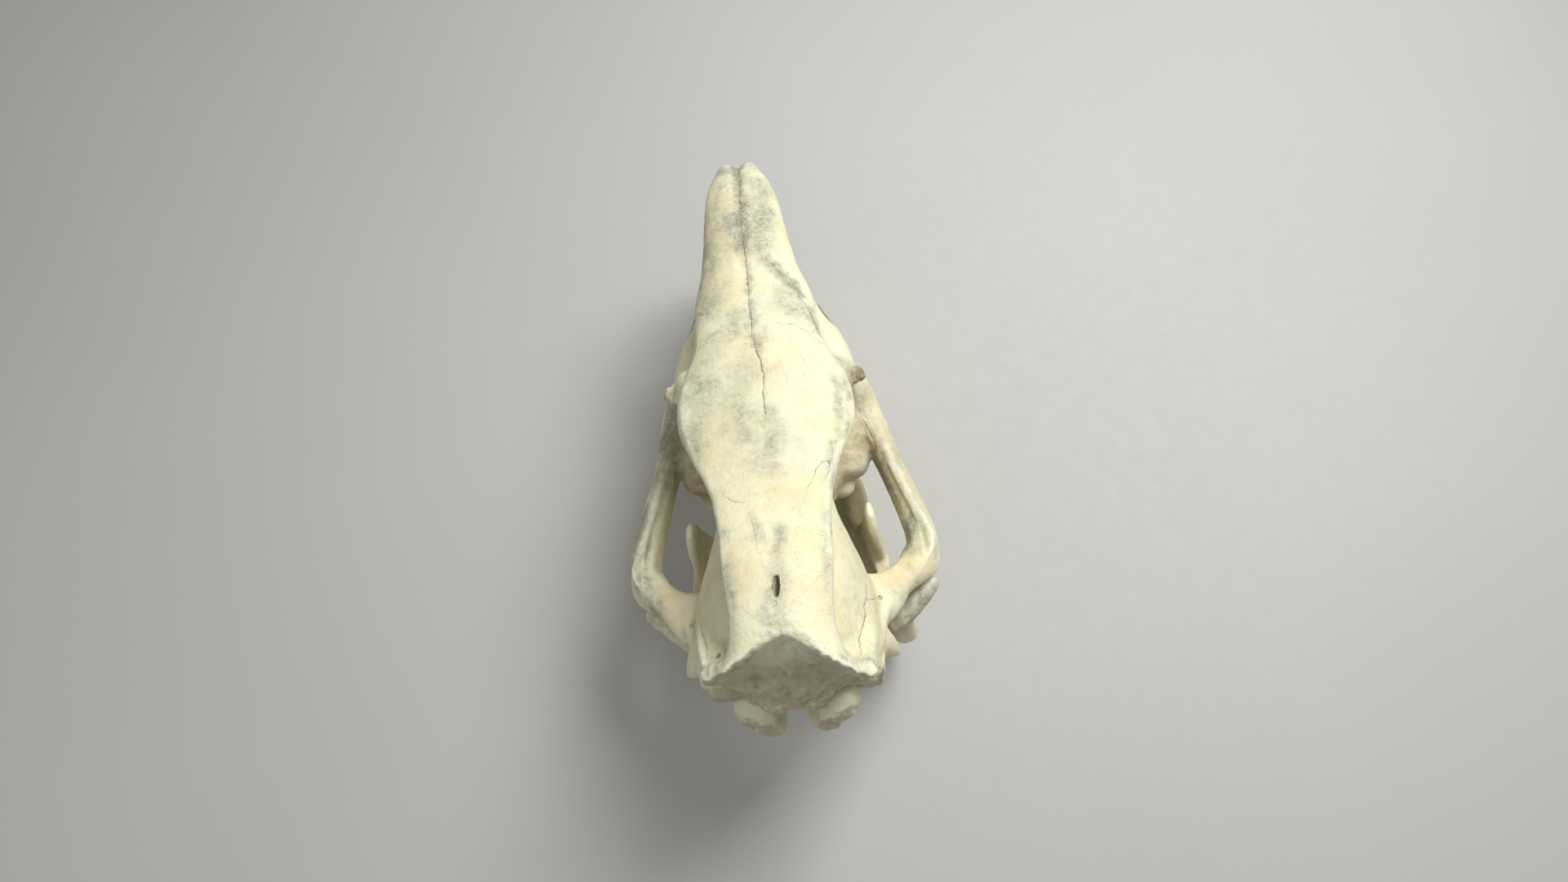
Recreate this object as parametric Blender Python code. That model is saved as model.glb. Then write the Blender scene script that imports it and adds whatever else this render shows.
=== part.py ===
# A life-size rhinoceros skull with its lower jaw, as a museum shows it: a young, hornless Asian animal.
# X is the skull's right, Y points to the nose, Z is up, and the jaw stands on Z = 0.
# The shape tables are in millimetres, counted from the middle of the nuchal crest's root.

import math

import bmesh
import bpy
import numpy as np
from mathutils import Matrix, Vector

MM = 0.001
GAP = 0.3                    # between neighbouring bones
BITE_HEIGHT = 116.0          # where upper and lower cheek teeth meet
MIDDLE = (1.4, 197.6)        # the middle of the whole skull in the tables' X and Y
SIDES = 32                   # points round a cross section
END_RINGS = (0.8, 0.55, 0.3, 0.1)   # rings across the rear end of a midline body
TIP_STEPS, TIP_BULGE = (0.5, 1.0, 1.4), 0.9   # a sweep's rounded ends: angles, and length of its width
VOXEL = 2.8                  # grain of the fused bone before it is thinned
CRANIUM_TRIANGLES = 8600
JAW_TRIANGLES = 3800

JAW_SHIFT = 4.0              # the jaw's middle lies this far to the right of the cranium's
JAW_YAW = 0.2                # degrees, its front a little to the left
JAW_MIDDLE_Y = 200.0
JAW_LEAN = 0.04              # the foot of the jaw leans to the right, per millimetre of height
LEAN_Y = (-60, 0, 80, 200, 320, 400, 480)
LEAN_X = (0, 0, 1.5, 2.2, 0, -2, -3)
CREST_SKEW = 0.05            # the right half of the nuchal crest lies a little further back
SKEW_BY_HEIGHT, SKEW_BY_LENGTH = ((260, 320), (0, 1)), ((-20, 60), (1, 0))
LEAN_HEIGHT = 200            # where the lean is zero
FLOOR_CUT = (400, 700, 50)
BONE_ROUGHNESS = 0.5
SHARP_ANGLE = math.radians(40)

# Midline bodies: rows of (y, half width, top, height of the widest point, bottom).
ROOF = [
    (471, 17, 252, 245, 238), (463, 24, 257, 247, 236), (452, 29.5, 262, 248, 235),
    (436, 34.5, 267, 250, 235), (410, 39, 271, 251, 234), (375, 43, 276, 252, 234),
    (345, 48, 280, 254, 234), (315, 57, 285, 258, 236), (290, 58, 289, 267, 244),
    (262, 60, 293, 272, 250), (238, 70, 297, 275, 258), (217, 78.5, 299, 277, 264),
    (195, 81, 302, 279, 266), (175, 79, 306, 283, 270), (157, 72, 311, 288, 274),
    (137, 62, 317, 297, 280), (112, 53.5, 327, 309, 290), (90, 49.5, 337, 321, 300),
    (60, 46.5, 348, 335, 312), (30, 44.5, 357, 343, 320), (5, 42, 362, 346, 320),
    (-15, 42, 364, 345, 316), (-34, 46, 365, 341, 306), (-50, 58, 363, 334, 296),
]
BRAINCASE = [
    (185, 30, 280, 240, 190), (150, 42, 292, 246, 186), (125, 50, 306, 248, 182),
    (100, 55, 322, 246, 178), (75, 64, 335, 240, 177), (50, 74, 346, 230, 176), (25, 80, 354, 224, 176),
    (0, 82, 357, 222, 176), (-25, 79, 353, 224, 176), (-45, 73, 345, 228, 178),
]
UPPER_FACE = [
    (352, 40, 266, 248, 190), (335, 49, 268, 246, 180), (310, 56, 272, 242, 176),
    (285, 61, 276, 240, 176), (260, 67, 280, 240, 178), (244, 75, 282, 240, 178),
    (230, 81, 282, 240, 178), (216, 80, 284, 244, 178), (198, 66, 286, 250, 178),
    (165, 50, 288, 250, 180), (140, 44, 290, 250, 182),
]
LOWER_FACE = [
    (372, 34, 186, 168, 152), (355, 52, 208, 176, 146), (335, 64, 222, 182, 140),
    (310, 77, 226, 186, 140), (285, 87, 226, 188, 142), (262, 92, 222, 188, 144),
    (235, 94, 216, 184, 146), (205, 94, 208, 178, 146), (182, 93, 204, 175, 147),
    (167, 93, 201, 174, 148), (158, 89, 199, 174, 150), (152, 74, 198, 174, 153),
    (146, 45, 202, 176, 158),
]
SKULL_BASE = [
    (170, 34, 215, 190, 168), (120, 30, 215, 188, 170), (60, 32, 215, 190, 172), (0, 40, 215, 192, 174),
    (-35, 46, 222, 196, 176), (-62, 36, 226, 198, 180),
]

# Paired sweeps of the right side: rows of (x, y, z, half width, half height, tilt in degrees).
ARCH_BODY = [
    (74, 262, 176, 21, 24, 0), (88, 240, 172, 18, 24, 0), (97, 215, 169, 16, 23, 4),
    (106, 188, 168, 14, 22, 8), (114, 160, 168, 13, 20, 12), (122, 132, 170, 13, 19, 14),
    (129, 106, 173, 13.5, 18, 12), (133, 82, 177, 15, 16, 6), (130, 66, 189, 17.5, 13, 0),
    (120, 52, 202, 19, 10, 0), (106, 41, 210, 17, 10, 0), (90, 30, 216, 23, 12, 0),
    (66, 18, 218, 28, 16, 0),
]
ARCH_BLADE = [
    (99, 214, 184, 7, 12, 14), (108, 188, 182, 7, 15, 18), (118, 160, 181, 7, 18, 20),
    (128, 132, 182, 7, 19, 20), (136, 106, 184, 7, 18, 18), (140, 84, 189, 7, 15, 12),
    (137, 67, 199, 7, 12, 6), (128, 52, 208, 7, 9, 0), (116, 41, 213, 7, 9, 0), (104, 31, 216, 6.5, 9, 0),
    (91, 19, 221, 6.5, 9, 0), (83, 2, 237, 6, 9, 0), (78, -15, 262, 6, 9, 0), (70, -29, 290, 6, 9, 0),
    (62, -40, 316, 6, 9, 0),
]
TUBER = [
    (88, 204, 170, 16, 20, 0), (80, 188, 168, 17, 22, 0), (68, 172, 169, 18, 24, 0),
    (51, 156, 173, 16, 26, 0), (42, 136, 181, 12, 26, 0), (38, 116, 192, 10, 24, 0),
]
GUM_RIDGE = [
    (44, 362, 158, 10, 12, 0), (49, 345, 154, 15, 14, 0), (54, 315, 153, 19, 15, 0),
    (59, 280, 153, 21, 15, 0), (62, 240, 153, 22, 15, 0), (63, 200, 154, 22, 15, 0),
    (63, 168, 157, 19, 14, 0), (62, 148, 163, 14, 12, 0),
]
UPPER_INCISOR = [(12, 450, 150, 9, 15, 0), (13, 450, 138, 9.5, 17, 0), (14, 451, 127, 8, 15, 0)]
PREMAXILLA = [
    (37, 372, 172, 10, 19, 0), (31, 396, 168, 9, 18, 0), (25, 420, 163, 9, 16, 0),
    (18.5, 442, 158, 9.5, 15, 0), (13, 458, 153, 9.5, 13, 0),
]
LACRIMAL_PEG = [(66, 225, 256, 7, 8, 0), (80, 228, 251, 6.5, 6, 0), (91, 231, 246, 5.5, 5.5, 0)]
PTERYGOID = [
    (44, 178, 168, 7, 18, 0), (38, 150, 166, 6, 20, 6), (33, 122, 164, 5, 18, 8),
    (30, 100, 158, 4.5, 11, 8),
]
# Sweeps that run up and down: the same columns, with the width along X and the height along Y.
ORBIT_RIM = [
    (66, 222, 272, 12, 14, 0), (70, 234, 256, 12, 16, 0), (72, 241, 236, 13, 18, 0),
    (78, 241, 214, 15, 19, 0), (88, 232, 194, 16, 18, 0),
]
POSTGLENOID = [
    (76, 24, 214, 26, 20, 0), (72, 14, 192, 19, 15, 0), (70, 9, 172, 14, 11, 0), (69, 6, 152, 8, 7, 0),
]
POST_TYMPANIC = [
    (70, -8, 226, 15, 16, 0), (80, -13, 208, 15, 13, 0), (89, -17, 192, 10, 9, 0),
    (96, -19, 178, 5, 5, 0),
]
PAROCCIPITAL = [
    (58, -30, 218, 26, 20, 0), (65, -35, 194, 19, 13, 0), (70, -39, 170, 13, 9, 0),
    (72, -41, 147, 7, 6, 0),
]
# Egg shapes: centre, radii and turn in degrees.
CONDYLE = dict(centre=(34, -62, 192), radii=(28, 18, 25), turn=(0, 12, 38))
NASAL_TIP = dict(centre=(10, 460, 248), radii=(13, 16, 9))
FORAMEN_LIP = dict(centre=(13, -59, 231), radii=(20, 12, 11))

# The nuchal plate: rows of (share of the way down, half width, rear y in the middle and at the ends,
# thickness).
NUCHAL_TOP, NUCHAL_TOP_AT_ENDS, NUCHAL_FOOT = 365, 331, 196
CREST_ROUNDING = 0.1
CREST_SWEEP, CREST_DROP = 1.3, 1.4
FACE_ROUNDING, FACE_CURVE = 1.6, 2.4   # how soon and how flatly the face below the crest is rounded
FACE_REACH = 40              # the roof bends towards the plate's face from here back
END_INSET = 2                # they end this far in front of it
CREST_ROLL = 6               # radius of the crest's rounded edge
NUCHAL = [
    (0.0, 66, -20, -46, 12), (0.1, 70, -23, -44, 18), (0.28, 76, -32, -39, 34), (0.5, 78, -45, -33, 48),
    (0.75, 70, -60, -28, 56), (1.0, 54, -68, -24, 56),
]

# Hollows on the midline, in rows like the bodies'.
NASAL_CAVITY = [
    (500, 40, 246, 205, 178), (420, 38, 246, 206, 176), (360, 37, 240, 206, 176),
    (310, 33, 232, 204, 178), (265, 18, 220, 202, 186),
]
PALATE = [
    (372, 24, 164, 140, 100), (330, 30, 166, 140, 100), (250, 35, 168, 140, 100),
    (170, 38, 170, 140, 100), (60, 30, 168, 140, 100),
]
THROAT = [
    (206, 6, 170, 158, 120), (198, 14, 180, 160, 120), (182, 20, 186, 160, 120), (150, 24, 178, 150, 120),
    (110, 24, 175, 150, 120), (80, 17, 173, 150, 120), (62, 6, 170, 150, 120),
]

ORBIT = dict(centre=(98, 190, 222), radii=(44, 33, 28), turn=(0, 0, -12))
FACE_FORAMEN = dict(centre=(74, 322, 198), radii=(16, 14, 9), turn=(0, 0, 60))
FORAMEN_MAGNUM = dict(centre=(0, -80, 211), radii=(19, 58, 21))
NASAL_NOTCH = dict(centre=(0, 486, 250), radii=(4, 18, 24))

# Cheek teeth: lengths along the row from front to back, and how the row spreads from the middle.
UPPER_TEETH = dict(
    lengths=(24, 30, 35, 40, 43), front=352, front_x=49, spread=14, spread_length=120, width=40, root=150,
    bite=BITE_HEIGHT + 1,
)
LOWER_TEETH = dict(
    lengths=(22, 28, 33, 38, 41), front=352, front_x=43, spread=20, spread_length=160, width=26, root=80,
    bite=BITE_HEIGHT - 1,
)
TOOTH_SQUARENESS = 3.2
TOOTH_SWELL = ((0.0, 0.92), (0.4, 1.0), (1.0, 0.9))   # share of the way to the bite, of the full width
FIRST_TOOTH_WIDTH, TOOTH_GROWTH, TOOTH_CONTACT = 0.82, 0.05, 1.04

# The lower jaw, before it is shifted: sweeps like those above.
JAW_BODY = [
    (15, 424, 82, 12, 15, 0), (22, 402, 70, 12.5, 24, 0), (31, 370, 58, 13, 36, -2),
    (39, 335, 52, 13.5, 43, -4), (46, 300, 48, 14, 47, -5), (53, 260, 46, 14.5, 49, -6),
    (59, 220, 45, 15, 49, -7), (60, 180, 45, 13, 48, -8), (61, 145, 48, 10.5, 47, -8),
    (72, 108, 55, 10, 51, -10), (85, 72, 60, 10, 56, -10), (93, 40, 66, 10, 52, -6),
]
CRYPT = dict(centre=(71, 150, 82), radii=(14, 38, 30))   # the right last tooth, still inside the bone
JAW_CHIN = [
    (0, 452, 92, 20, 9, 0), (0, 436, 86, 27, 12, 0), (0, 412, 76, 31, 17, 0), (0, 385, 68, 30, 20, 0),
    (0, 360, 66, 22, 16, 0),
]
# Ramus: rows of (z, front x, front y, rear x, rear y, half thickness).
RAMUS = [
    (4, 61, 141, 80, 62, 8), (30, 63, 142, 91, 30, 9.5), (60, 67, 135, 98, 14, 10),
    (95, 72, 127, 101, 10, 9.5), (125, 76, 122, 99, 14, 8.5), (150, 79, 118, 97, 22, 8),
    (166, 80, 116, 95, 30, 7.5),
]
CORONOID = [
    (150, 79, 118, 90, 68, 7), (172, 80, 117, 89.5, 71, 6), (195, 81, 116, 87.5, 75, 5),
    (218, 81.5, 114, 85.5, 80, 4.5), (236, 81.5, 111, 84, 87, 4), (246, 81.5, 106, 83, 95, 3.5),
]
JAW_NECK = [(146, 92, 62, 102, 18, 8.5), (164, 96, 52, 106, 19, 9.5), (178, 104, 42, 110, 19, 11)]
JAW_REAR_RIM = [
    (88, 54, 9, 9, 9, 0), (95, 30, 34, 11, 11, 0), (104, 12, 68, 12, 12, 0), (105, 10, 96, 12, 12, 0),
    (101, 14, 126, 11, 11, 0), (101, 18, 152, 10, 10, 0), (104, 20, 174, 11, 10, 0),
]
JAW_JOINT = [
    (93, 6, 174, 8, 9, 0), (102, 13, 179, 10.5, 11, 0), (114, 24, 182, 11, 11, 0),
    (125, 34, 183, 10.5, 10.5, 0), (131, 39, 183, 9, 9, 0),
]
SOCKET_ROOM = (0, 0, 0, 9, 4.5, 0)   # added to the joint's rows for the hollow that it sits in
LOWER_INCISOR = [
    (14, 434, 88, 9, 9, 0), (17, 452, 97, 9, 8, 0), (19.5, 468, 107, 7.5, 6, 0),
    (20.5, 478, 114, 4, 3, 0),
]

# Parting boxes that cut the fused bone apart, in the order of the cuts: centre, size and turn in degrees.
# A paired box starts half a gap to the right of the middle plane, and its mirror image cuts the left bone.
LEVEL = (0, 0, 0)
PREMAXILLA_BOX = ((60.15, 450, 140), (120, 160, 140), LEVEL)
NASAL_BOX = ((60.15, 410, 270), (120, 260, 100), (-14, 0, 0))
ZYGOMATIC_BOX = ((150, 128, 170), (90, 140, 140), (0, 0, 16))
TEMPORAL_BOX = ((122, 30, 230), (124, 130, 220), LEVEL)
OCCIPITAL_BOX = ((0, -98, 250), (260, 160, 330), (-13, 0, 0))
BASE_BOX = ((0, 40, 130), (124, 210, 150), LEVEL)
FRONTAL_BOX = ((0, 198, 292), (260, 186, 100), LEVEL)
PARIETAL_BOX = ((0, 20, 280), (260, 236, 400), LEVEL)
MAXILLA_BOX = ((100.15, 250, 180), (200, 330, 250), LEVEL)
CHIN_BOX = ((0, 440, 80), (200, 120, 240), LEVEL)
RAMUS_BOX = ((130, 50, 130), (240, 210, 300), LEVEL)
JAW_BODY_BOX = ((130.2, 270, 80), (260, 300, 300), LEVEL)


def smooth_rows(rows, count):
    """Rows on a smooth curve through the rows, evenly spaced along it."""
    keys = np.array(rows, float)
    spans = np.linalg.norm(np.diff(keys[:, :3], axis=0), axis=1)
    at = np.concatenate([[0], np.cumsum(spans)])
    slopes = np.gradient(keys, at, axis=0)
    t = np.linspace(0, at[-1], count)
    i = np.clip(np.searchsorted(at, t, side="right") - 1, 0, len(at) - 2)
    h = (at[i + 1] - at[i])[:, None]
    s = (t - at[i])[:, None] / h
    return (
        (2 * s**3 - 3 * s**2 + 1) * keys[i] + (s**3 - 2 * s**2 + s) * h * slopes[i]
        + (3 * s**2 - 2 * s**3) * keys[i + 1] + (s**3 - s**2) * h * slopes[i + 1]
    )


def oval(squareness=2.0):
    """Points round a unit superellipse."""
    turn = np.linspace(0, 2 * math.pi, SIDES, endpoint=False)
    c, s = np.cos(turn), np.sin(turn)
    power = 2 / squareness
    return np.sign(c) * np.abs(c) ** power, np.sign(s) * np.abs(s) ** power


def loft(rings):
    """A closed mesh as (points, faces) through rings of equally many points."""
    count = len(rings[0])
    points = np.concatenate(rings)
    faces = [
        (k * count + i, k * count + (i + 1) % count, (k + 1) * count + (i + 1) % count, (k + 1) * count + i)
        for k in range(len(rings) - 1)
        for i in range(count)
    ]
    faces.append(tuple(range(count))[::-1])
    faces.append(tuple((len(rings) - 1) * count + i for i in range(count)))
    return points, faces


def midline_body(rows, squareness=2.3, count=36):
    """A loft along Y through a table of (y, half width, top, widest height, bottom)."""
    a, b = oval(squareness)
    rings = []
    for y, wide, top, middle, bottom in smooth_rows(rows, count):
        z = middle + np.where(b > 0, b * (top - middle), b * (middle - bottom))
        rings.append(np.stack([a * wide, np.full(SIDES, y), z], 1))
    hub = np.array([0, y, middle])
    rings += [hub + (rings[-1] - hub) * share for share in END_RINGS]
    return loft(rings)


def sweep(rows, squareness=2.2, upright=False, count=30):
    """A tube through a table of (x, y, z, half width, half height, tilt), with rounded ends."""
    keys = smooth_rows(rows, count)
    path = keys[:, :3]
    ahead = np.gradient(path, axis=0)
    ahead /= np.linalg.norm(ahead, axis=1)[:, None]
    reference = np.array([0, -1.0, 0]) if upright else np.array([0, 0, 1.0])
    a, b = oval(squareness)
    rings = []
    for k, (centre, along) in enumerate(zip(path, ahead)):
        side = np.cross(along, reference)
        side /= np.linalg.norm(side)
        rise = np.cross(side, along)
        wide, high, tilt = keys[k, 3], keys[k, 4], math.radians(keys[k, 5])
        tilted_side = side * math.cos(tilt) - rise * math.sin(tilt)
        tilted_rise = side * math.sin(tilt) + rise * math.cos(tilt)
        section = np.outer(a * wide, tilted_side) + np.outer(b * high, tilted_rise)
        bulge = along * min(wide, high) * TIP_BULGE
        if k == 0:
            rings += [centre + section * math.cos(t) - bulge * math.sin(t) for t in reversed(TIP_STEPS)]
        rings.append(centre + section)
        if k == len(path) - 1:
            rings += [centre + section * math.cos(t) + bulge * math.sin(t) for t in TIP_STEPS]
    return loft(rings)


def blade(rows, count=26):
    """An upright plate through a table of (z, front x, front y, rear x, rear y, half thickness)."""
    a, b = oval(2.6)
    rings = []
    for z, front_x, front_y, rear_x, rear_y, thick in smooth_rows(rows, count):
        front, rear = np.array([front_x, front_y]), np.array([rear_x, rear_y])
        along = (front - rear) / 2
        across = np.array([along[1], -along[0]]) / np.linalg.norm(along) * thick
        flat = (front + rear) / 2 + np.outer(a, along) + np.outer(b, across)
        rings.append(np.column_stack([flat, np.full(SIDES, z)]))
    return loft(rings)


def turned(degrees):
    """A turn about X, then Y, then Z, as a matrix."""
    x, y, z = (Matrix.Rotation(math.radians(d), 3, axis) for d, axis in zip(degrees, "XYZ"))
    return np.array(z @ y @ x)


def egg(centre, radii, turn=(0, 0, 0), rings=14):
    """An ellipsoid, turned by degrees about X, Y and Z."""
    a, b = oval()
    spin = turned(turn)
    shells = []
    for t in np.linspace(-0.97, 0.97, rings) * math.pi / 2:
        local = np.stack([a * math.cos(t), b * math.cos(t), np.full(SIDES, math.sin(t))], 1) * radii
        shells.append(local @ spin.T + centre)
    return loft(shells)


def block(centre, size, turn=(0, 0, 0)):
    """A box, turned by degrees about X, Y and Z."""
    corners = np.array([(x, y, z) for x in (-1, 1) for y in (-1, 1) for z in (-1, 1)]) * np.array(size) / 2
    spin = turned(turn)
    faces = [(0, 1, 3, 2), (4, 6, 7, 5), (0, 4, 5, 1), (2, 3, 7, 6), (0, 2, 6, 4), (1, 5, 7, 3)]
    return corners @ spin.T + centre, faces


def crest_bend(across, down):
    """How far the back of the head has swept from its middle to its ends: a notch on top, rounder below."""
    full = math.hypot(1, CREST_ROUNDING) - CREST_ROUNDING
    straight = (np.sqrt(across**2 + CREST_ROUNDING**2) - CREST_ROUNDING) / full
    notched = 1 - (1 - np.minimum(straight, 1)) ** CREST_SWEEP
    below = np.clip(down * FACE_ROUNDING, 0, 1)
    return notched * (1 - below) + np.minimum(across, 1) ** FACE_CURVE * below


def nuchal_face(row):
    """Points across the back of the head at one row of the plate's table."""
    down, wide, rear_middle, rear_ends, _ = row
    across = np.linspace(-1, 1, 27)
    bend = crest_bend(np.abs(across), down)
    top = NUCHAL_TOP - (NUCHAL_TOP - NUCHAL_TOP_AT_ENDS) * np.abs(across) ** CREST_DROP
    rear = rear_middle + (rear_ends - rear_middle) * bend
    return np.stack([across * wide, rear, top + (NUCHAL_FOOT - top) * down], 1)


def nuchal_plate():
    """The broad plate at the back of the head, whose upper edge is notched in the middle."""
    rings = []
    for row in smooth_rows(NUCHAL, 18):
        back = nuchal_face(row)
        rings.append(np.concatenate([back, (back + (0, row[4], 0))[::-1]]))
    return loft(rings)


def crest_roll():
    """The rounded edge of the nuchal crest."""
    edge = nuchal_face(NUCHAL[0]) + (0, CREST_ROLL, -CREST_ROLL)
    roll = [(x, y, z, CREST_ROLL, CREST_ROLL, 0) for x, y, z in edge]
    return sweep(roll, 2.0, count=50)


def ended_at_face(shape):
    """The shape with its rear end drawn to the plate's rear face."""
    points, faces = shape
    x, y, z = points.T
    table = np.array(NUCHAL)
    from_middle = np.minimum(np.abs(x) / table[0, 1], 1)
    top = NUCHAL_TOP - (NUCHAL_TOP - NUCHAL_TOP_AT_ENDS) * from_middle ** CREST_DROP
    down = (top - z) / (top - NUCHAL_FOOT)
    wide, middle, ends = (np.interp(down, table[:, 0], table[:, k]) for k in (1, 2, 3))
    face = middle + (ends - middle) * crest_bend(np.abs(x) / wide, down) + END_INSET
    share = np.clip((FACE_REACH - y) / (FACE_REACH - ROOF[-1][0]), 0, 1)
    drawn = np.where(share > 0, FACE_REACH + (face - FACE_REACH) * share, y)
    return np.stack([x, drawn, z], 1), faces


def mirrored(shape):
    points, faces = shape
    return points * (-1, 1, 1), [tuple(reversed(f)) for f in faces]


def both_sides(*shapes):
    return [s for shape in shapes for s in (shape, mirrored(shape))]


def mesh_of(shapes, name):
    """One mesh that holds closed shapes, each facing out."""
    bm = bmesh.new()
    for points, faces in shapes:
        made = [bm.verts.new(Vector(p) * MM) for p in points]
        for face in faces:
            bm.faces.new([made[i] for i in face])
    bmesh.ops.recalc_face_normals(bm, faces=bm.faces)
    mesh = bpy.data.meshes.new(name)
    bm.to_mesh(mesh)
    bm.free()
    return mesh


def add_object(name, mesh):
    obj = bpy.data.objects.new(name, mesh)
    bpy.context.scene.collection.objects.link(obj)
    return obj


def applied(obj):
    """The object's mesh with its modifiers applied; the object itself is removed."""
    graph = bpy.context.evaluated_depsgraph_get()
    mesh = bpy.data.meshes.new_from_object(obj.evaluated_get(graph))
    bpy.data.objects.remove(obj)
    return mesh


def largest_body(mesh):
    """Keeps the closed surface that holds the most, and drops scraps and sealed hollows."""
    bm = bmesh.new()
    bm.from_mesh(mesh)
    left, bodies = set(bm.faces), []
    while left:
        grown, stack = set(), [left.pop()]
        while stack:
            face = stack.pop()
            grown.add(face)
            for edge in face.edges:
                for other in edge.link_faces:
                    if other in left:
                        left.remove(other)
                        stack.append(other)
        bodies.append(grown)
    kept = max(bodies, key=lambda faces: sum(f.calc_area() for f in faces))
    bmesh.ops.delete(bm, geom=[f for f in bm.faces if f not in kept], context="FACES")
    bmesh.ops.triangulate(bm, faces=bm.faces)
    bm.to_mesh(mesh)
    bm.free()
    return mesh


def with_boolean(mesh, cutter_mesh, operation, solver="EXACT"):
    """The mesh after one Boolean with another mesh."""
    obj, cutter = add_object("worked", mesh), add_object("cutter", cutter_mesh)
    modifier = obj.modifiers.new("cut", "BOOLEAN")
    modifier.object, modifier.operation, modifier.solver = cutter, operation, solver
    result = applied(obj)
    bpy.data.objects.remove(cutter)
    return result


def grained(mesh, soft_steps):
    """The mesh grown together on an even grain, with its edges softened."""
    obj = add_object("grained", mesh)
    remesh = obj.modifiers.new("grain", "REMESH")
    remesh.mode, remesh.voxel_size = "VOXEL", VOXEL * MM
    soften = obj.modifiers.new("soften", "SMOOTH")
    soften.factor, soften.iterations = 0.5, soft_steps
    return applied(obj)


def fused(shapes, hollows, name):
    """Overlapping shapes grown into one bone and then hollowed."""
    bone = grained(mesh_of(shapes, name), 6)
    if hollows:
        bone = grained(with_boolean(bone, mesh_of(hollows, "hollows"), "DIFFERENCE", "MANIFOLD"), 2)
    return largest_body(bone)


def thinned(mesh, triangles):
    """The same surface with about this many triangles."""
    obj = add_object("thinned", mesh)
    fewer = obj.modifiers.new("fewer", "DECIMATE")
    fewer.ratio = triangles / len(mesh.polygons)
    fewer.use_collapse_triangulate = True
    return applied(obj)


def split(mesh, centre, size, turn):
    """The mesh inside a box and the mesh outside it, with the gap between."""
    inside = with_boolean(mesh.copy(), mesh_of([block(centre, size, turn)], "in"), "INTERSECT")
    wider = block(centre, [s + 2 * GAP for s in size], turn)
    outside = with_boolean(mesh, mesh_of([wider], "out"), "DIFFERENCE")
    return largest_body(inside), outside


def split_pair(mesh, centre, size, turn, name):
    """The two mirrored pieces that a box and its mirror image take from the mesh, and the rest."""
    right, rest = split(mesh, centre, size, turn)
    mirror_centre, mirror_turn = (-centre[0], *centre[1:]), (turn[0], -turn[1], -turn[2])
    left, rest = split(rest, mirror_centre, size, mirror_turn)
    return {name + "_right": right, name + "_left": left}, rest


def tooth(x, y, length, wide, root, bite):
    """A cheek tooth: a squarish block, widest near its middle."""
    a, b = oval(TOOTH_SQUARENESS)
    rings = []
    for down, swell in TOOTH_SWELL:
        z = np.full(SIDES, root + (bite - root) * down)
        rings.append(np.stack([x + a * wide / 2 * swell, y + b * length / 2 * swell, z], 1))
    return loft(rings)


def cheek_teeth(row):
    """The right teeth of one row, each a little wider than the one in front."""
    teeth, y = [], row["front"]
    for number, length in enumerate(row["lengths"]):
        middle = y - length / 2
        x = row["front_x"] + row["spread"] * min(1.0, (row["front"] - middle) / row["spread_length"])
        wide = row["width"] * (FIRST_TOOTH_WIDTH + TOOTH_GROWTH * number)
        teeth.append(tooth(x, middle, length * TOOTH_CONTACT, wide, row["root"], row["bite"]))
        y -= length
    return teeth


def cranium():
    """The whole cranium as one bone."""
    shapes = [
        ended_at_face(midline_body(ROOF, 2.2)), ended_at_face(midline_body(BRAINCASE, 1.85)),
        midline_body(UPPER_FACE, 2.8), midline_body(LOWER_FACE, 2.6), midline_body(SKULL_BASE),
        nuchal_plate(), crest_roll(),
    ]
    shapes += both_sides(
        egg(**NASAL_TIP), egg(**FORAMEN_LIP), egg(**CONDYLE), sweep(ARCH_BODY),
        sweep(ARCH_BLADE, 2.0, count=60), sweep(TUBER), sweep(GUM_RIDGE), sweep(PREMAXILLA),
        sweep(UPPER_INCISOR, upright=True), sweep(LACRIMAL_PEG), sweep(PTERYGOID),
        sweep(ORBIT_RIM, upright=True), sweep(POSTGLENOID, upright=True),
        sweep(POST_TYMPANIC, upright=True), sweep(PAROCCIPITAL, upright=True), *cheek_teeth(UPPER_TEETH),
    )
    hollows = [
        midline_body(NASAL_CAVITY, 2.4), midline_body(PALATE, 2.4), midline_body(THROAT, 2.4),
        egg(**FORAMEN_MAGNUM), egg(**NASAL_NOTCH),
    ]
    socket = sweep([np.add(row, SOCKET_ROOM) for row in JAW_JOINT])
    hollows += both_sides(socket, egg(**ORBIT), egg(**FACE_FORAMEN))
    return fused(shapes, hollows, "cranium")


def jaw():
    """The whole lower jaw as one bone, with its cheek teeth and incisors."""
    shapes = both_sides(
        sweep(JAW_BODY, 2.6), blade(RAMUS), blade(CORONOID), blade(JAW_NECK),
        sweep(JAW_REAR_RIM, upright=True), sweep(JAW_JOINT), sweep(LOWER_INCISOR), *cheek_teeth(LOWER_TEETH),
    )
    shapes += [sweep(JAW_CHIN, 2.4), egg(**CRYPT)]
    return fused(shapes, [], "jaw")


def stood(mesh):
    """The jaw's mesh with small flats cut into its lower edge, all at floor height."""
    floor = block((0, JAW_MIDDLE_Y, -FLOOR_CUT[2] / 2), FLOOR_CUT)
    return with_boolean(mesh, mesh_of([floor], "floor"), "DIFFERENCE")


def bent(mesh, bend):
    """Moves each point by bend(x, y, z), in millimetres."""
    for vertex in mesh.vertices:
        x, y, z = vertex.co / MM
        vertex.co = Vector(bend(x, y, z)) * MM
    return mesh


def cranium_bend(x, y, z):
    """The cranium's slight natural asymmetry."""
    skew = CREST_SKEW * np.interp(z, *SKEW_BY_HEIGHT) * np.interp(y, *SKEW_BY_LENGTH)
    return x + np.interp(y, LEAN_Y, LEAN_X), y - skew * x, z


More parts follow.
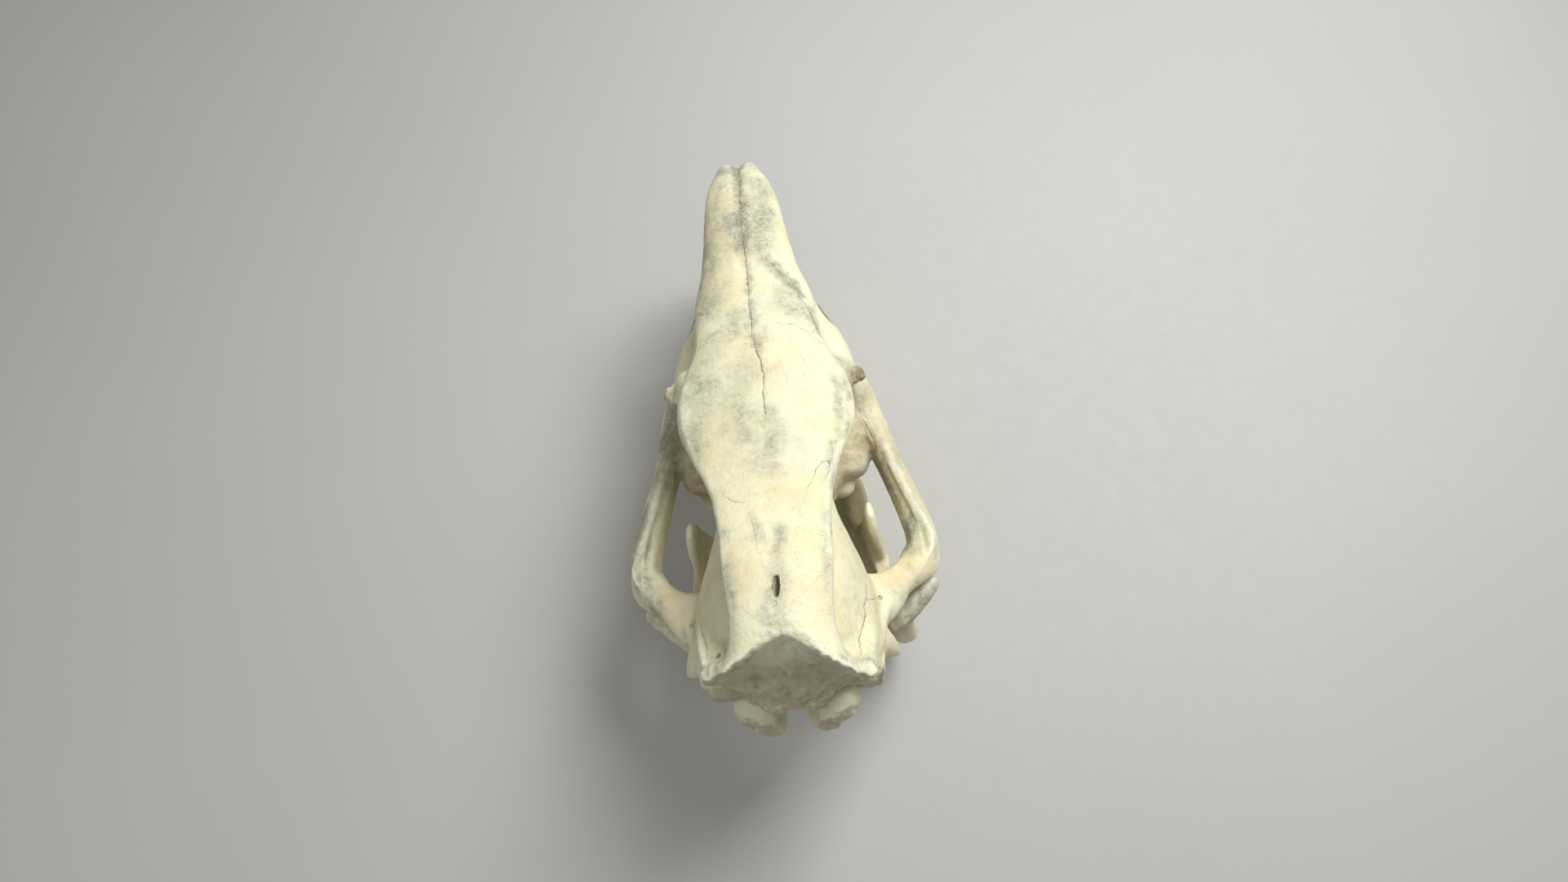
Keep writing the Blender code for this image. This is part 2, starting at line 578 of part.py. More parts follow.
def jaw_bend(x, y, z):
    """The jaw's place: turned about its middle, shifted, and leaning to the right towards its foot."""
    turn = math.radians(JAW_YAW)
    ahead = y - JAW_MIDDLE_Y
    lean = JAW_LEAN * (LEAN_HEIGHT - z)
    return (
        x * math.cos(turn) - ahead * math.sin(turn) + JAW_SHIFT + lean,
        x * math.sin(turn) + ahead * math.cos(turn) + JAW_MIDDLE_Y, z,
    )


def cranium_bones(whole):
    """The cranium parted along planes near its sutures."""
    bones = {}

    def take_pair(name, centre, size, turn):
        nonlocal whole
        pair, whole = split_pair(whole, centre, size, turn, name)
        bones.update(pair)

    def take(name, centre, size, turn):
        nonlocal whole
        bones[name], whole = split(whole, centre, size, turn)

    take_pair("premaxilla", *PREMAXILLA_BOX)
    take_pair("nasal", *NASAL_BOX)
    take_pair("zygomatic", *ZYGOMATIC_BOX)
    take_pair("temporal", *TEMPORAL_BOX)
    take("occipital", *OCCIPITAL_BOX)
    take("skull_base", *BASE_BOX)
    take("frontal", *FRONTAL_BOX)
    take("parietal", *PARIETAL_BOX)
    take_pair("maxilla", *MAXILLA_BOX)
    return bones


def jaw_bones(whole):
    """The jaw parted into its chin, its two rami and its two bodies."""
    chin, whole = split(whole, *CHIN_BOX)
    rami, whole = split_pair(whole, *RAMUS_BOX, "mandible_ramus")
    bodies, _ = split_pair(whole, *JAW_BODY_BOX, "mandible_body")
    return {"mandible_chin": chin, **rami, **bodies}


def bone_material(name):
    """Cream bone of the node's own, a little yellower or greyer from bone to bone."""
    material = bpy.data.materials.new(name + "_bone")
    material.use_nodes = True
    shader = material.node_tree.nodes["Principled BSDF"]
    shade = 0.03 * math.sin(len(name) * 1.7)
    shader.inputs["Base Color"].default_value = (0.78 + shade, 0.72 + shade, 0.56 - shade, 1)
    shader.inputs["Roughness"].default_value = BONE_ROUGHNESS
    shader.inputs["Metallic"].default_value = 0
    return material


def add_holder(name, location):
    holder = bpy.data.objects.new(name, None)
    holder.location = Vector(location) * MM
    bpy.context.scene.collection.objects.link(holder)
    return holder


def place(bones, holder):
    for name, mesh in bones.items():
        obj = add_object(name, mesh)
        mesh.materials.clear()
        mesh.materials.append(bone_material(name))
        mesh.shade_smooth()
        mesh.set_sharp_from_angle(angle=SHARP_ANGLE)
        obj.parent = holder


def main():
    for obj in list(bpy.data.objects):
        bpy.data.objects.remove(obj)
    whole_cranium = thinned(bent(cranium(), cranium_bend), CRANIUM_TRIANGLES)
    whole_jaw = stood(thinned(bent(jaw(), jaw_bend), JAW_TRIANGLES))
    cranium_parts, jaw_parts = cranium_bones(whole_cranium), jaw_bones(whole_jaw)
    stand = add_holder("rhinoceros_skull", (-MIDDLE[0], -MIDDLE[1], 0))
    place(cranium_parts, stand)
    place(jaw_parts, stand)


main()
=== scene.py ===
# Rhinoceros skull and lower jaw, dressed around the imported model.
# Shape rows are in millimetres, x to the skull's right, y to the nose, z up from the floor.
import math
import time

import bmesh
import bpy
import numpy as np
from mathutils import Matrix, Vector, kdtree, noise


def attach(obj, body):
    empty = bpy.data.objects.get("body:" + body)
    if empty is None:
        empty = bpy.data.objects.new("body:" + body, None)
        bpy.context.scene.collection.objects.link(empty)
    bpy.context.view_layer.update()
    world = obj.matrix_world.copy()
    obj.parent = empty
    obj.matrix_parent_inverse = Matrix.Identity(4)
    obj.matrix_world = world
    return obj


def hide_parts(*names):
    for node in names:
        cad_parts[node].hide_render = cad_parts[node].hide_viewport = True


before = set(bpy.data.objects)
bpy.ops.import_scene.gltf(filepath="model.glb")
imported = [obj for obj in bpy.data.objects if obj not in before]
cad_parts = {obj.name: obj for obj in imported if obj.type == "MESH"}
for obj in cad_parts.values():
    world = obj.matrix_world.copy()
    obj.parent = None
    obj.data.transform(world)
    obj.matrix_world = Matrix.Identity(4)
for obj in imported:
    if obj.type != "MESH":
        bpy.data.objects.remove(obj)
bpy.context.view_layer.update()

startTime = time.time()
mm = 0.001

grain = {
    "voxel": 1.5,            # grain of the bone mesh, finer is slower
    "jawVoxel": 1.6,
    "softSteps": 22,         # blends the parts of the form into each other
    "edgeSteps": 5,          # softens the edges of the hollows
    "creaseSteps": 120,      # fills creases
    "jawCreaseSteps": 60,
    "sides": 64,             # points round a cross section
    "rows": 110,             # rings along a body
    "poleShare": 0.97,       # how close the rings of an egg come to its poles
    "bluntness": 0.9,        # how far the ends of a swept body bulge, in its half width
    "sharpAngle": 40,        # degrees
    "weld": 1e-7,            # points closer than this become one, in metres
}

place = {
    "middle": (1.4, 197.6),    # middle of the whole skull in the rows' x and y
    # how the middle plane bends: y, shift in x
    "leanY": (-60, 0, 80, 200, 320, 400, 480),
    "leanX": (0, 0, 1.5, 2.2, 0, -2, -3),
    # the crest is skewed: share of x, and the heights and y over which it sets in
    "crestSkew": 0.05, "skewZ": (260, 320), "skewY": (-20, 60),
    # how far the arms of the crest hang back: x, distance, and the heights and -y over which they set in
    "armsX": (-72, -63, -45, -31, -16, 0, 19, 31, 43, 57, 72),
    "armsBack": (3, 4, 5, 3, 0, -1.5, 3, 6, 7.5, 7, 6),
    "armsZ": (270, 325), "armsBehind": (-25, 25),
    # the lower jaw: shift in x, turn in degrees about jawMiddleY, and sideways lean about leanHeight
    "jawShift": 4.0, "jawYaw": 0.2, "jawMiddleY": 200.0, "jawLean": 0.04, "leanHeight": 200,
}


def report(stage):
    print("{:6.1f} s  {}".format(time.time() - startTime, stage))


def leanAt(y):
    return np.interp(y, place["leanY"], place["leanX"])


# Tools for the forms
def smoothRows(rows, count):
    keys = np.array(rows, float)
    spans = np.linalg.norm(np.diff(keys[:, :3], axis=0), axis=1)
    at = np.concatenate([[0], np.cumsum(spans)])
    slopes = np.gradient(keys, at, axis=0)
    t = np.linspace(0, at[-1], count)
    i = np.clip(np.searchsorted(at, t, side="right") - 1, 0, len(at) - 2)
    h = (at[i + 1] - at[i])[:, None]
    s = (t - at[i])[:, None] / h
    return (
        (2 * s**3 - 3 * s**2 + 1) * keys[i] + (s**3 - 2 * s**2 + s) * h * slopes[i]
        + (3 * s**2 - 2 * s**3) * keys[i + 1] + (s**3 - s**2) * h * slopes[i + 1]
    )


def oval(squareness=2.0, sides=None):
    turn = np.linspace(0, 2 * math.pi, sides or grain["sides"], endpoint=False)
    c, s = np.cos(turn), np.sin(turn)
    power = 2 / squareness
    return np.sign(c) * np.abs(c) ** power, np.sign(s) * np.abs(s) ** power


def loft(rings):
    count = len(rings[0])
    points = np.concatenate(rings)
    faces = [
        (k * count + i, k * count + (i + 1) % count, (k + 1) * count + (i + 1) % count, (k + 1) * count + i)
        for k in range(len(rings) - 1)
        for i in range(count)
    ]
    faces.append(tuple(range(count))[::-1])
    faces.append(tuple((len(rings) - 1) * count + i for i in range(count)))
    return points, faces


def midlineBody(rows, squareness=2.3):
    # rows of (y, half width, top, height of the widest point, bottom)
    a, b = oval(squareness)
    rings = []
    for y, wide, top, middle, bottom in smoothRows(rows, grain["rows"]):
        z = middle + np.where(b > 0, b * (top - middle), b * (middle - bottom))
        rings.append(np.stack([a * wide, np.full(len(a), y), z], 1))
    hub = np.array([0, y, middle])
    closing = (0.8, 0.55, 0.3, 0.1)
    rings += [hub + (rings[-1] - hub) * share for share in closing]
    return loft(rings)


def sweep(rows, squareness=2.2, upright=False, count=70):
    # rows of (x, y, z, half width, half height, tilt), with rounded ends
    keys = smoothRows(rows, count)
    path = keys[:, :3]
    ahead = np.gradient(path, axis=0)
    ahead /= np.linalg.norm(ahead, axis=1)[:, None]
    reference = np.array([0, -1.0, 0]) if upright else np.array([0, 0, 1.0])
    a, b = oval(squareness)
    rings, tipSteps = [], (0.25, 0.5, 0.75, 1.0, 1.2, 1.4)
    for k, (centre, along) in enumerate(zip(path, ahead)):
        side = np.cross(along, reference)
        side /= np.linalg.norm(side)
        rise = np.cross(side, along)
        wide, high, tilt = keys[k, 3], keys[k, 4], math.radians(keys[k, 5])
        tiltedSide = side * math.cos(tilt) - rise * math.sin(tilt)
        tiltedRise = side * math.sin(tilt) + rise * math.cos(tilt)
        section = np.outer(a * wide, tiltedSide) + np.outer(b * high, tiltedRise)
        bulge = along * min(wide, high) * grain["bluntness"]
        if k == 0:
            rings += [centre + section * math.cos(t) - bulge * math.sin(t) for t in reversed(tipSteps)]
        rings.append(centre + section)
        if k == len(path) - 1:
            rings += [centre + section * math.cos(t) + bulge * math.sin(t) for t in tipSteps]
    return loft(rings)


def blade(rows, count=60):
    # rows of (z, front x, front y, rear x, rear y, half thickness)
    a, b = oval(2.6)
    rings = []
    for z, frontX, frontY, rearX, rearY, thick in smoothRows(rows, count):
        front, rear = np.array([frontX, frontY]), np.array([rearX, rearY])
        along = (front - rear) / 2
        across = np.array([along[1], -along[0]]) / np.linalg.norm(along) * thick
        flat = (front + rear) / 2 + np.outer(a, along) + np.outer(b, across)
        rings.append(np.column_stack([flat, np.full(len(a), z)]))
    return loft(rings)


def turned(degrees):
    x, y, z = (Matrix.Rotation(math.radians(d), 3, axis) for d, axis in zip(degrees, "XYZ"))
    return np.array(z @ y @ x)


def egg(centre, radii, turn=(0, 0, 0), rings=28, sides=None):
    a, b = oval(2.0, sides)
    shells = []
    for t in np.linspace(-grain["poleShare"], grain["poleShare"], rings) * math.pi / 2:
        local = np.stack([a * math.cos(t), b * math.cos(t), np.full(len(a), math.sin(t))], 1) * radii
        shells.append(local @ turned(turn).T + centre)
    return loft(shells)


def mirrored(shape):
    points, faces = shape
    return points * (-1, 1, 1), [tuple(reversed(f)) for f in faces]


def bothSides(*shapes):
    return [s for shape in shapes for s in (shape, mirrored(shape))]


# Tools for the meshes
def meshOf(shapes, name):
    points, faces, start = [], [], 0
    for shapePoints, shapeFaces in shapes:
        points.append(np.asarray(shapePoints, float))
        faces += [tuple(i + start for i in f) for f in shapeFaces]
        start += len(shapePoints)
    mesh = bpy.data.meshes.new(name)
    mesh.from_pydata((np.concatenate(points) * mm).tolist(), [], faces)
    bm = bmesh.new()
    bm.from_mesh(mesh)
    bmesh.ops.recalc_face_normals(bm, faces=bm.faces)
    bm.to_mesh(mesh)
    bm.free()
    return mesh


def addObject(name, mesh):
    obj = bpy.data.objects.new(name, mesh)
    bpy.context.scene.collection.objects.link(obj)
    return obj


def applied(obj):
    graph = bpy.context.evaluated_depsgraph_get()
    mesh = bpy.data.meshes.new_from_object(obj.evaluated_get(graph))
    bpy.data.objects.remove(obj)
    return mesh


def grained(mesh, voxel, softSteps):
    obj = addObject("grained", mesh)
    remesh = obj.modifiers.new("grain", "REMESH")
    remesh.mode, remesh.voxel_size = "VOXEL", voxel * mm
    soften = obj.modifiers.new("soften", "SMOOTH")
    soften.factor, soften.iterations = 0.5, softSteps
    return applied(obj)


def withBoolean(mesh, cutterMesh, operation, solver="MANIFOLD"):
    obj, cutter = addObject("worked", mesh), addObject("cutter", cutterMesh)
    modifier = obj.modifiers.new("cut", "BOOLEAN")
    modifier.object, modifier.operation, modifier.solver = cutter, operation, solver
    result = applied(obj)
    bpy.data.objects.remove(cutter)
    return result


def pointsOf(mesh, what="co"):
    flat = np.empty(len(mesh.vertices) * 3, np.float32)
    mesh.vertices.foreach_get(what, flat)
    return flat.reshape(-1, 3).astype(float) / (mm if what == "co" else 1)


def setPoints(mesh, points):
    mesh.vertices.foreach_set("co", (points * mm).astype(np.float32).ravel())
    mesh.update()


def edgesOf(mesh):
    pairs = np.empty(len(mesh.edges) * 2, np.int32)
    mesh.edges.foreach_get("vertices", pairs)
    return pairs.reshape(-1, 2)


def largestBody(mesh):
    # drops loose scraps, by spreading the lowest vertex number over each body
    pairs, label = edgesOf(mesh), np.arange(len(mesh.vertices))
    while True:
        lowest = label.copy()
        np.minimum.at(lowest, pairs[:, 0], label[pairs[:, 1]])
        np.minimum.at(lowest, pairs[:, 1], label[pairs[:, 0]])
        lowest = lowest[lowest]
        lowest = lowest[lowest]
        if (lowest == label).all():
            break
        label = lowest
    names, counts = np.unique(label, return_counts=True)
    if len(names) == 1:
        return mesh
    kept = names[counts.argmax()]
    bm = bmesh.new()
    bm.from_mesh(mesh)
    bm.verts.ensure_lookup_table()
    bmesh.ops.delete(bm, geom=[bm.verts[i] for i in np.nonzero(label != kept)[0]], context="VERTS")
    bm.to_mesh(mesh)
    bm.free()
    return mesh


def fractal(points, size, octaves=3, seed=0.0):
    # smooth noise from about -1 to 1, size is the length of its waves
    shifted = points / size + (seed, seed * 1.7, -seed)
    return np.array([noise.fractal(p, 1.0, 2.0, octaves) for p in shifted])


def vectorNoise(points, size, seed=0.0, octaves=2):
    return np.stack([fractal(points, size, octaves, seed + k) for k in (0.0, 1.3, 3.7)], 1)


def ramp(value, low, high):
    t = np.clip((value - low) / (high - low), 0, 1)
    return t * t * (3 - 2 * t)


def relaxed(points, pairs, weight, steps):
    # spreads the points of a region evenly, which fills its creases
    near = weight > 0
    pairs = pairs[near[pairs[:, 0]] | near[pairs[:, 1]]]
    used = np.unique(pairs)
    number = np.zeros(len(points), int)
    number[used] = np.arange(len(used))
    a, b = number[pairs[:, 0]], number[pairs[:, 1]]
    count = np.bincount(a, minlength=len(used)) + np.bincount(b, minlength=len(used))
    local, share = points[used], weight[used, None] * 0.5
    for _ in range(steps):
        sums = [
            np.bincount(a, local[b, k], len(used)) + np.bincount(b, local[a, k], len(used))
            for k in range(3)
        ]
        local = local + (np.stack(sums, 1) / count[:, None] - local) * share
    moved = points.copy()
    moved[used] = local
    return moved


farFromCrack = 12.0   # the field's value away from every crack
fadeAtEnds = 3        # how much faster a line's field fades beyond its ends


def lineField(points, normals, lines):
    # signed distance across the nearest line in line widths, so that a thin line can be drawn through zero
    best, field = np.full(len(points), 1e9), np.full(len(points), farFromCrack)
    for wide, path in lines:
        path = np.array(path, float)
        for k, (a, b) in enumerate(zip(path[:-1], path[1:])):
            d = b - a
            t = (points - a) @ d / (d @ d)
            over = np.maximum(t - 1, 0) * (k == len(path) - 2) + np.maximum(-t, 0) * (k == 0)
            offset = points - a - np.clip(t, 0, 1)[:, None] * d
            away = np.linalg.norm(offset, axis=1) + fadeAtEnds * over * np.linalg.norm(d)
            side = np.where((np.cross(d, offset) * normals).sum(1) < 0, -1, 1)
            closer = away < best
            best = np.where(closer, away, best)
            field = np.where(closer, np.clip(away / wide, 0, farFromCrack) * side, field)
    return field


def distanceTo(points, path):
    # distance of each point to a line through the path's points
    best = np.full(len(points), 1e9)
    path = np.array(path, float)
    for a, b in zip(path[:-1], path[1:]):
        d = b - a
        t = np.clip((points - a) @ d / (d @ d), 0, 1)
        best = np.minimum(best, np.linalg.norm(points - a - t[:, None] * d, axis=1))
    return best


# The cranium
# Roof, braincase, faces, base, cavity, palate and throat are rows for midlineBody, other lists for sweep.
cranium = {
    "roof": [
        (471, 17, 252, 245, 238), (463, 24, 257, 247, 236), (452, 29.5, 262, 248, 235),
        (436, 34.5, 267, 250, 235), (410, 39, 271, 251, 234), (375, 43, 276, 252, 234),
        (345, 48, 280, 254, 234), (315, 57, 285, 258, 236), (290, 58, 289, 267, 244),
        (262, 60, 293, 272, 250), (238, 70, 297, 275, 258), (217, 78.5, 299, 277, 264),
        (195, 81, 302, 279, 266), (175, 79, 306, 283, 270), (157, 72, 311, 288, 274),
        (137, 62, 317, 297, 280), (112, 53.5, 327, 309, 290), (90, 49.5, 337, 321, 300),
        (60, 46.5, 348, 335, 312), (30, 44.5, 357, 343, 320), (5, 42, 362, 346, 320),
        (-15, 42, 364, 345, 316), (-34, 46, 365, 341, 306), (-50, 58, 363, 334, 296),
    ],
    "braincase": [
        (185, 30, 280, 240, 190), (150, 42, 292, 246, 186), (125, 50, 306, 248, 182),
        (100, 55, 322, 246, 178), (75, 64, 335, 240, 177), (50, 74, 346, 230, 176), (25, 80, 354, 224, 176),
        (0, 82, 357, 222, 176), (-25, 79, 353, 224, 176), (-45, 73, 345, 228, 178),
    ],
    "upperFace": [
        (352, 40, 266, 248, 190), (335, 49, 268, 246, 180), (310, 56, 272, 242, 176),
        (285, 61, 276, 240, 176), (260, 67, 280, 240, 178), (244, 75, 282, 240, 178),
        (230, 81, 282, 240, 178), (216, 80, 284, 244, 178), (198, 66, 286, 250, 178),
        (165, 50, 288, 250, 180), (140, 44, 290, 250, 182),
    ],
    "lowerFace": [
        (372, 34, 186, 168, 152), (355, 52, 208, 176, 146), (335, 64, 222, 182, 140),
        (310, 77, 226, 186, 140), (285, 87, 226, 188, 142), (262, 92, 222, 188, 144),
        (235, 94, 216, 184, 146), (205, 94, 208, 178, 146), (182, 93, 204, 175, 147),
        (167, 93, 201, 174, 148), (158, 89, 199, 174, 150), (152, 74, 198, 174, 153),
        (146, 45, 202, 176, 158),
    ],
    "base": [
        (170, 34, 215, 190, 168), (120, 30, 215, 188, 170), (60, 32, 215, 190, 172), (0, 40, 215, 192, 174),
        (-35, 46, 222, 196, 176), (-62, 36, 226, 198, 180),
    ],
    "archBody": [
        (74, 262, 176, 21, 24, 0), (88, 240, 172, 18, 24, 0), (97, 215, 169, 16, 23, 4),
        (106, 188, 168, 14, 22, 8), (114, 160, 168, 13, 20, 12), (122, 132, 170, 13, 19, 14),
        (129, 106, 173, 13.5, 18, 12), (133, 82, 177, 15, 16, 6), (130, 66, 189, 17.5, 13, 0),
        (120, 52, 202, 19, 10, 0), (106, 41, 210, 17, 10, 0), (90, 30, 216, 23, 12, 0),
        (66, 18, 218, 28, 16, 0),
    ],
    "archBlade": [
        (99, 214, 184, 7, 12, 14), (108, 188, 182, 7, 15, 18), (118, 160, 181, 7, 18, 20),
        (128, 132, 182, 7, 19, 20), (136, 106, 184, 7, 18, 18), (140, 84, 189, 7, 15, 12),
        (137, 67, 199, 7, 12, 6), (128, 52, 208, 7, 9, 0), (116, 41, 213, 7, 9, 0), (104, 31, 216, 6.5, 9, 0),
        (91, 19, 221, 6.5, 9, 0), (83, 2, 237, 6, 9, 0), (78, -15, 262, 6, 9, 0), (70, -29, 290, 6, 9, 0),
        (62, -40, 316, 6, 9, 0),
    ],
    "tuber": [
        (88, 204, 170, 16, 20, 0), (80, 188, 168, 17, 22, 0), (68, 172, 169, 18, 24, 0),
        (51, 156, 173, 16, 26, 0), (42, 136, 181, 12, 26, 0), (38, 116, 192, 10, 24, 0),
    ],
    "gumRidge": [
        (44, 362, 158, 10, 12, 0), (49, 345, 154, 15, 14, 0), (54, 315, 153, 19, 15, 0),
        (59, 280, 153, 21, 15, 0), (62, 240, 153, 22, 15, 0), (63, 200, 154, 22, 15, 0),
        (63, 168, 157, 19, 14, 0), (62, 148, 163, 14, 12, 0),
    ],
    "premaxilla": [
        (37, 372, 172, 10, 19, 0), (31, 396, 168, 9, 18, 0), (25, 420, 163, 9, 16, 0),
        (18.5, 442, 158, 9.5, 15, 0), (13, 458, 153, 9.5, 13, 0),
    ],
    "lacrimalPeg": [(66, 225, 256, 7, 8, 0), (80, 228, 251, 6.5, 6, 0), (91, 231, 246, 5.5, 5.5, 0)],
    "pterygoid": [
        (44, 178, 168, 7, 18, 0), (38, 150, 166, 6, 20, 6), (33, 122, 164, 5, 18, 8),
        (30, 100, 158, 4.5, 11, 8),
    ],
    "orbitRim": [
        (66, 222, 272, 12, 14, 0), (70, 234, 256, 12, 16, 0), (72, 241, 236, 13, 18, 0),
        (78, 241, 214, 15, 19, 0), (88, 232, 194, 16, 18, 0),
    ],
    "postglenoid": [
        (76, 24, 214, 26, 20, 0), (72, 14, 192, 19, 15, 0), (70, 9, 172, 14, 11, 0), (69, 6, 152, 8, 7, 0),
    ],
    "postTympanic": [
        (70, -8, 226, 15, 16, 0), (80, -13, 208, 15, 13, 0), (89, -17, 192, 10, 9, 0),
        (96, -19, 178, 5, 5, 0),
    ],
    "paroccipital": [
        (58, -30, 218, 26, 20, 0), (65, -35, 194, 19, 13, 0), (70, -39, 170, 13, 9, 0),
        (72, -41, 147, 7, 6, 0),
    ],
    "condyle": dict(centre=(34, -62, 192), radii=(28, 18, 25), turn=(0, 12, 38)),
    "nasalTip": dict(centre=(10, 460, 248), radii=(13, 16, 9)),
    "foramenLip": dict(centre=(13, -59, 231), radii=(20, 12, 11)),
    "nasalCavity": [
        (500, 40, 246, 205, 178), (420, 38, 246, 206, 176), (360, 37, 240, 206, 176),
        (310, 33, 232, 204, 178), (265, 18, 220, 202, 186),
    ],
    "palate": [
        (372, 24, 164, 140, 100), (330, 30, 166, 140, 100), (250, 35, 168, 140, 100),
        (170, 38, 170, 140, 100), (60, 30, 168, 140, 100),
    ],
    "throat": [
        (206, 6, 170, 158, 120), (198, 14, 180, 160, 120), (182, 20, 186, 160, 120), (150, 24, 178, 150, 120),
        (110, 24, 175, 150, 120), (80, 17, 173, 150, 120), (62, 6, 170, 150, 120),
    ],
    "orbit": dict(centre=(98, 190, 222), radii=(44, 33, 28), turn=(0, 0, -12)),
    "faceForamen": dict(centre=(74, 322, 198), radii=(16, 14, 9), turn=(0, 0, 60)),
    "foramenMagnum": dict(centre=(0, -80, 211), radii=(19, 58, 21)),
    "nasalNotch": dict(centre=(0, 486, 250), radii=(4, 18, 24)),
    "socketRoom": (0, 0, 0, 9, 4.5, 0),   # added to the rows of the jaw's joint
    # the knobs on the pegs in front of the eyes
    "knobs": [
        dict(centre=(90, 236, 248), radii=(5.5, 5, 5)), dict(centre=(84, 238, 251), radii=(5, 4.5, 4.5)),
        dict(centre=(93, 231, 244), radii=(4.5, 4, 5)),
    ],
    # rounds the cheek arch between its upper edge and its inner side
    "archFill": [
        (94, 216, 182, 9, 8, 0), (103, 188, 183, 9, 9, 0), (112, 160, 184, 10, 9, 0),
        (121, 132, 184, 10, 9, 0), (128, 106, 185, 10, 9, 0), (131, 86, 189, 10, 8, 0),
        (128, 70, 199, 10, 7, 0), (118, 56, 206, 10, 6, 0),
    ],
}

nuchal = {
    "top": 365, "topAtEnds": 331, "foot": 196,
    "rounding": 0.1, "sweep": 1.3, "drop": 1.4,
    "faceRounding": 1.6, "faceCurve": 2.4,
    "reach": 40, "inset": 2, "roll": 6,
    "columns": 61, "rings": 40,
    # rows of (share of the way down, half width, rear y in the middle and at the ends, thickness)
    "rows": [
        (0.0, 66, -20, -46, 12), (0.1, 70, -23, -44, 18), (0.28, 76, -32, -39, 34), (0.5, 78, -45, -33, 48),
        (0.75, 70, -60, -28, 56), (1.0, 54, -68, -24, 56),
    ],
}


def crestBend(across, down):
    # a notch on top, rounder below
    full = math.hypot(1, nuchal["rounding"]) - nuchal["rounding"]
    straight = (np.sqrt(across**2 + nuchal["rounding"] ** 2) - nuchal["rounding"]) / full
    notched = 1 - (1 - np.minimum(straight, 1)) ** nuchal["sweep"]
    below = np.clip(down * nuchal["faceRounding"], 0, 1)
    return notched * (1 - below) + np.minimum(across, 1) ** nuchal["faceCurve"] * below


def nuchalFace(row):
    down, wide, rearMiddle, rearEnds, _ = row
    across = np.linspace(-1, 1, nuchal["columns"])
    top = nuchal["top"] - (nuchal["top"] - nuchal["topAtEnds"]) * np.abs(across) ** nuchal["drop"]
    rear = rearMiddle + (rearEnds - rearMiddle) * crestBend(np.abs(across), down)
    return np.stack([across * wide, rear, top + (nuchal["foot"] - top) * down], 1)


def nuchalPlate():
    rings = []
    for row in smoothRows(nuchal["rows"], nuchal["rings"]):
        back = nuchalFace(row)
        rings.append(np.concatenate([back, (back + (0, row[4], 0))[::-1]]))
    return loft(rings)


def crestRoll():
    edge = nuchalFace(nuchal["rows"][0]) + (0, nuchal["roll"], -nuchal["roll"])
    return sweep([(x, y, z, nuchal["roll"], nuchal["roll"], 0) for x, y, z in edge], 2.0, count=120)


def endedAtFace(shape):
    points, faces = shape
    x, y, z = points.T
    table = np.array(nuchal["rows"])
    fromMiddle = np.minimum(np.abs(x) / table[0, 1], 1)
    top = nuchal["top"] - (nuchal["top"] - nuchal["topAtEnds"]) * fromMiddle ** nuchal["drop"]
    down = (top - z) / (top - nuchal["foot"])
    wide, middle, ends = (np.interp(down, table[:, 0], table[:, k]) for k in (1, 2, 3))
    face = middle + (ends - middle) * crestBend(np.abs(x) / wide, down) + nuchal["inset"]
    share = np.clip((nuchal["reach"] - y) / (nuchal["reach"] - cranium["roof"][-1][0]), 0, 1)
    y = np.where(share > 0, nuchal["reach"] + (face - nuchal["reach"]) * share, y)
    return np.stack([x, y, z], 1), faces


def craniumMesh():
    c = cranium
    shapes = [
        endedAtFace(midlineBody(c["roof"], 2.2)), endedAtFace(midlineBody(c["braincase"], 1.85)),
        midlineBody(c["upperFace"], 2.8), midlineBody(c["lowerFace"], 2.6), midlineBody(c["base"]),
        nuchalPlate(), crestRoll(),
    ]
    shapes += bothSides(
        egg(**c["nasalTip"]), egg(**c["foramenLip"]), egg(**c["condyle"]), sweep(c["archBody"]),
        sweep(c["archBlade"], 2.0, count=140), sweep(c["tuber"]), sweep(c["gumRidge"]),
        sweep(c["premaxilla"]), sweep(c["lacrimalPeg"]), sweep(c["pterygoid"]),
        sweep(c["orbitRim"], upright=True), sweep(c["archFill"]), *(egg(**knob) for knob in c["knobs"]),
        sweep(c["postglenoid"], upright=True), sweep(c["postTympanic"], upright=True),
        sweep(c["paroccipital"], upright=True),
    )
    hollows = [
        midlineBody(c["nasalCavity"], 2.4), midlineBody(c["palate"], 2.4), midlineBody(c["throat"], 2.4),
        egg(**c["foramenMagnum"]), egg(**c["nasalNotch"]),
    ]
    socket = sweep([np.add(row, c["socketRoom"]) for row in jaw["joint"]])
    hollows += bothSides(socket, egg(**c["orbit"]), egg(**c["faceForamen"]))
    bone = grained(meshOf(shapes, "cranium"), grain["voxel"], grain["softSteps"])
    report("cranium grown together")
    bone = withBoolean(bone, meshOf(hollows, "hollows"), "DIFFERENCE")
    bone = largestBody(grained(bone, grain["voxel"], grain["edgeSteps"]))
    points = pointsOf(bone)
    x, y, z = points.T
    skew = place["crestSkew"] * np.interp(z, place["skewZ"], (0, 1)) * np.interp(y, place["skewY"], (1, 0))
    arms = np.interp(x, place["armsX"], place["armsBack"])
    arms = arms * ramp(z, *place["armsZ"]) * ramp(-y, *place["armsBehind"])
    setPoints(bone, np.stack([x + leanAt(y), y - skew * x - arms, z], 1))
    report("cranium hollowed, {} points".format(len(points)))
    return bone


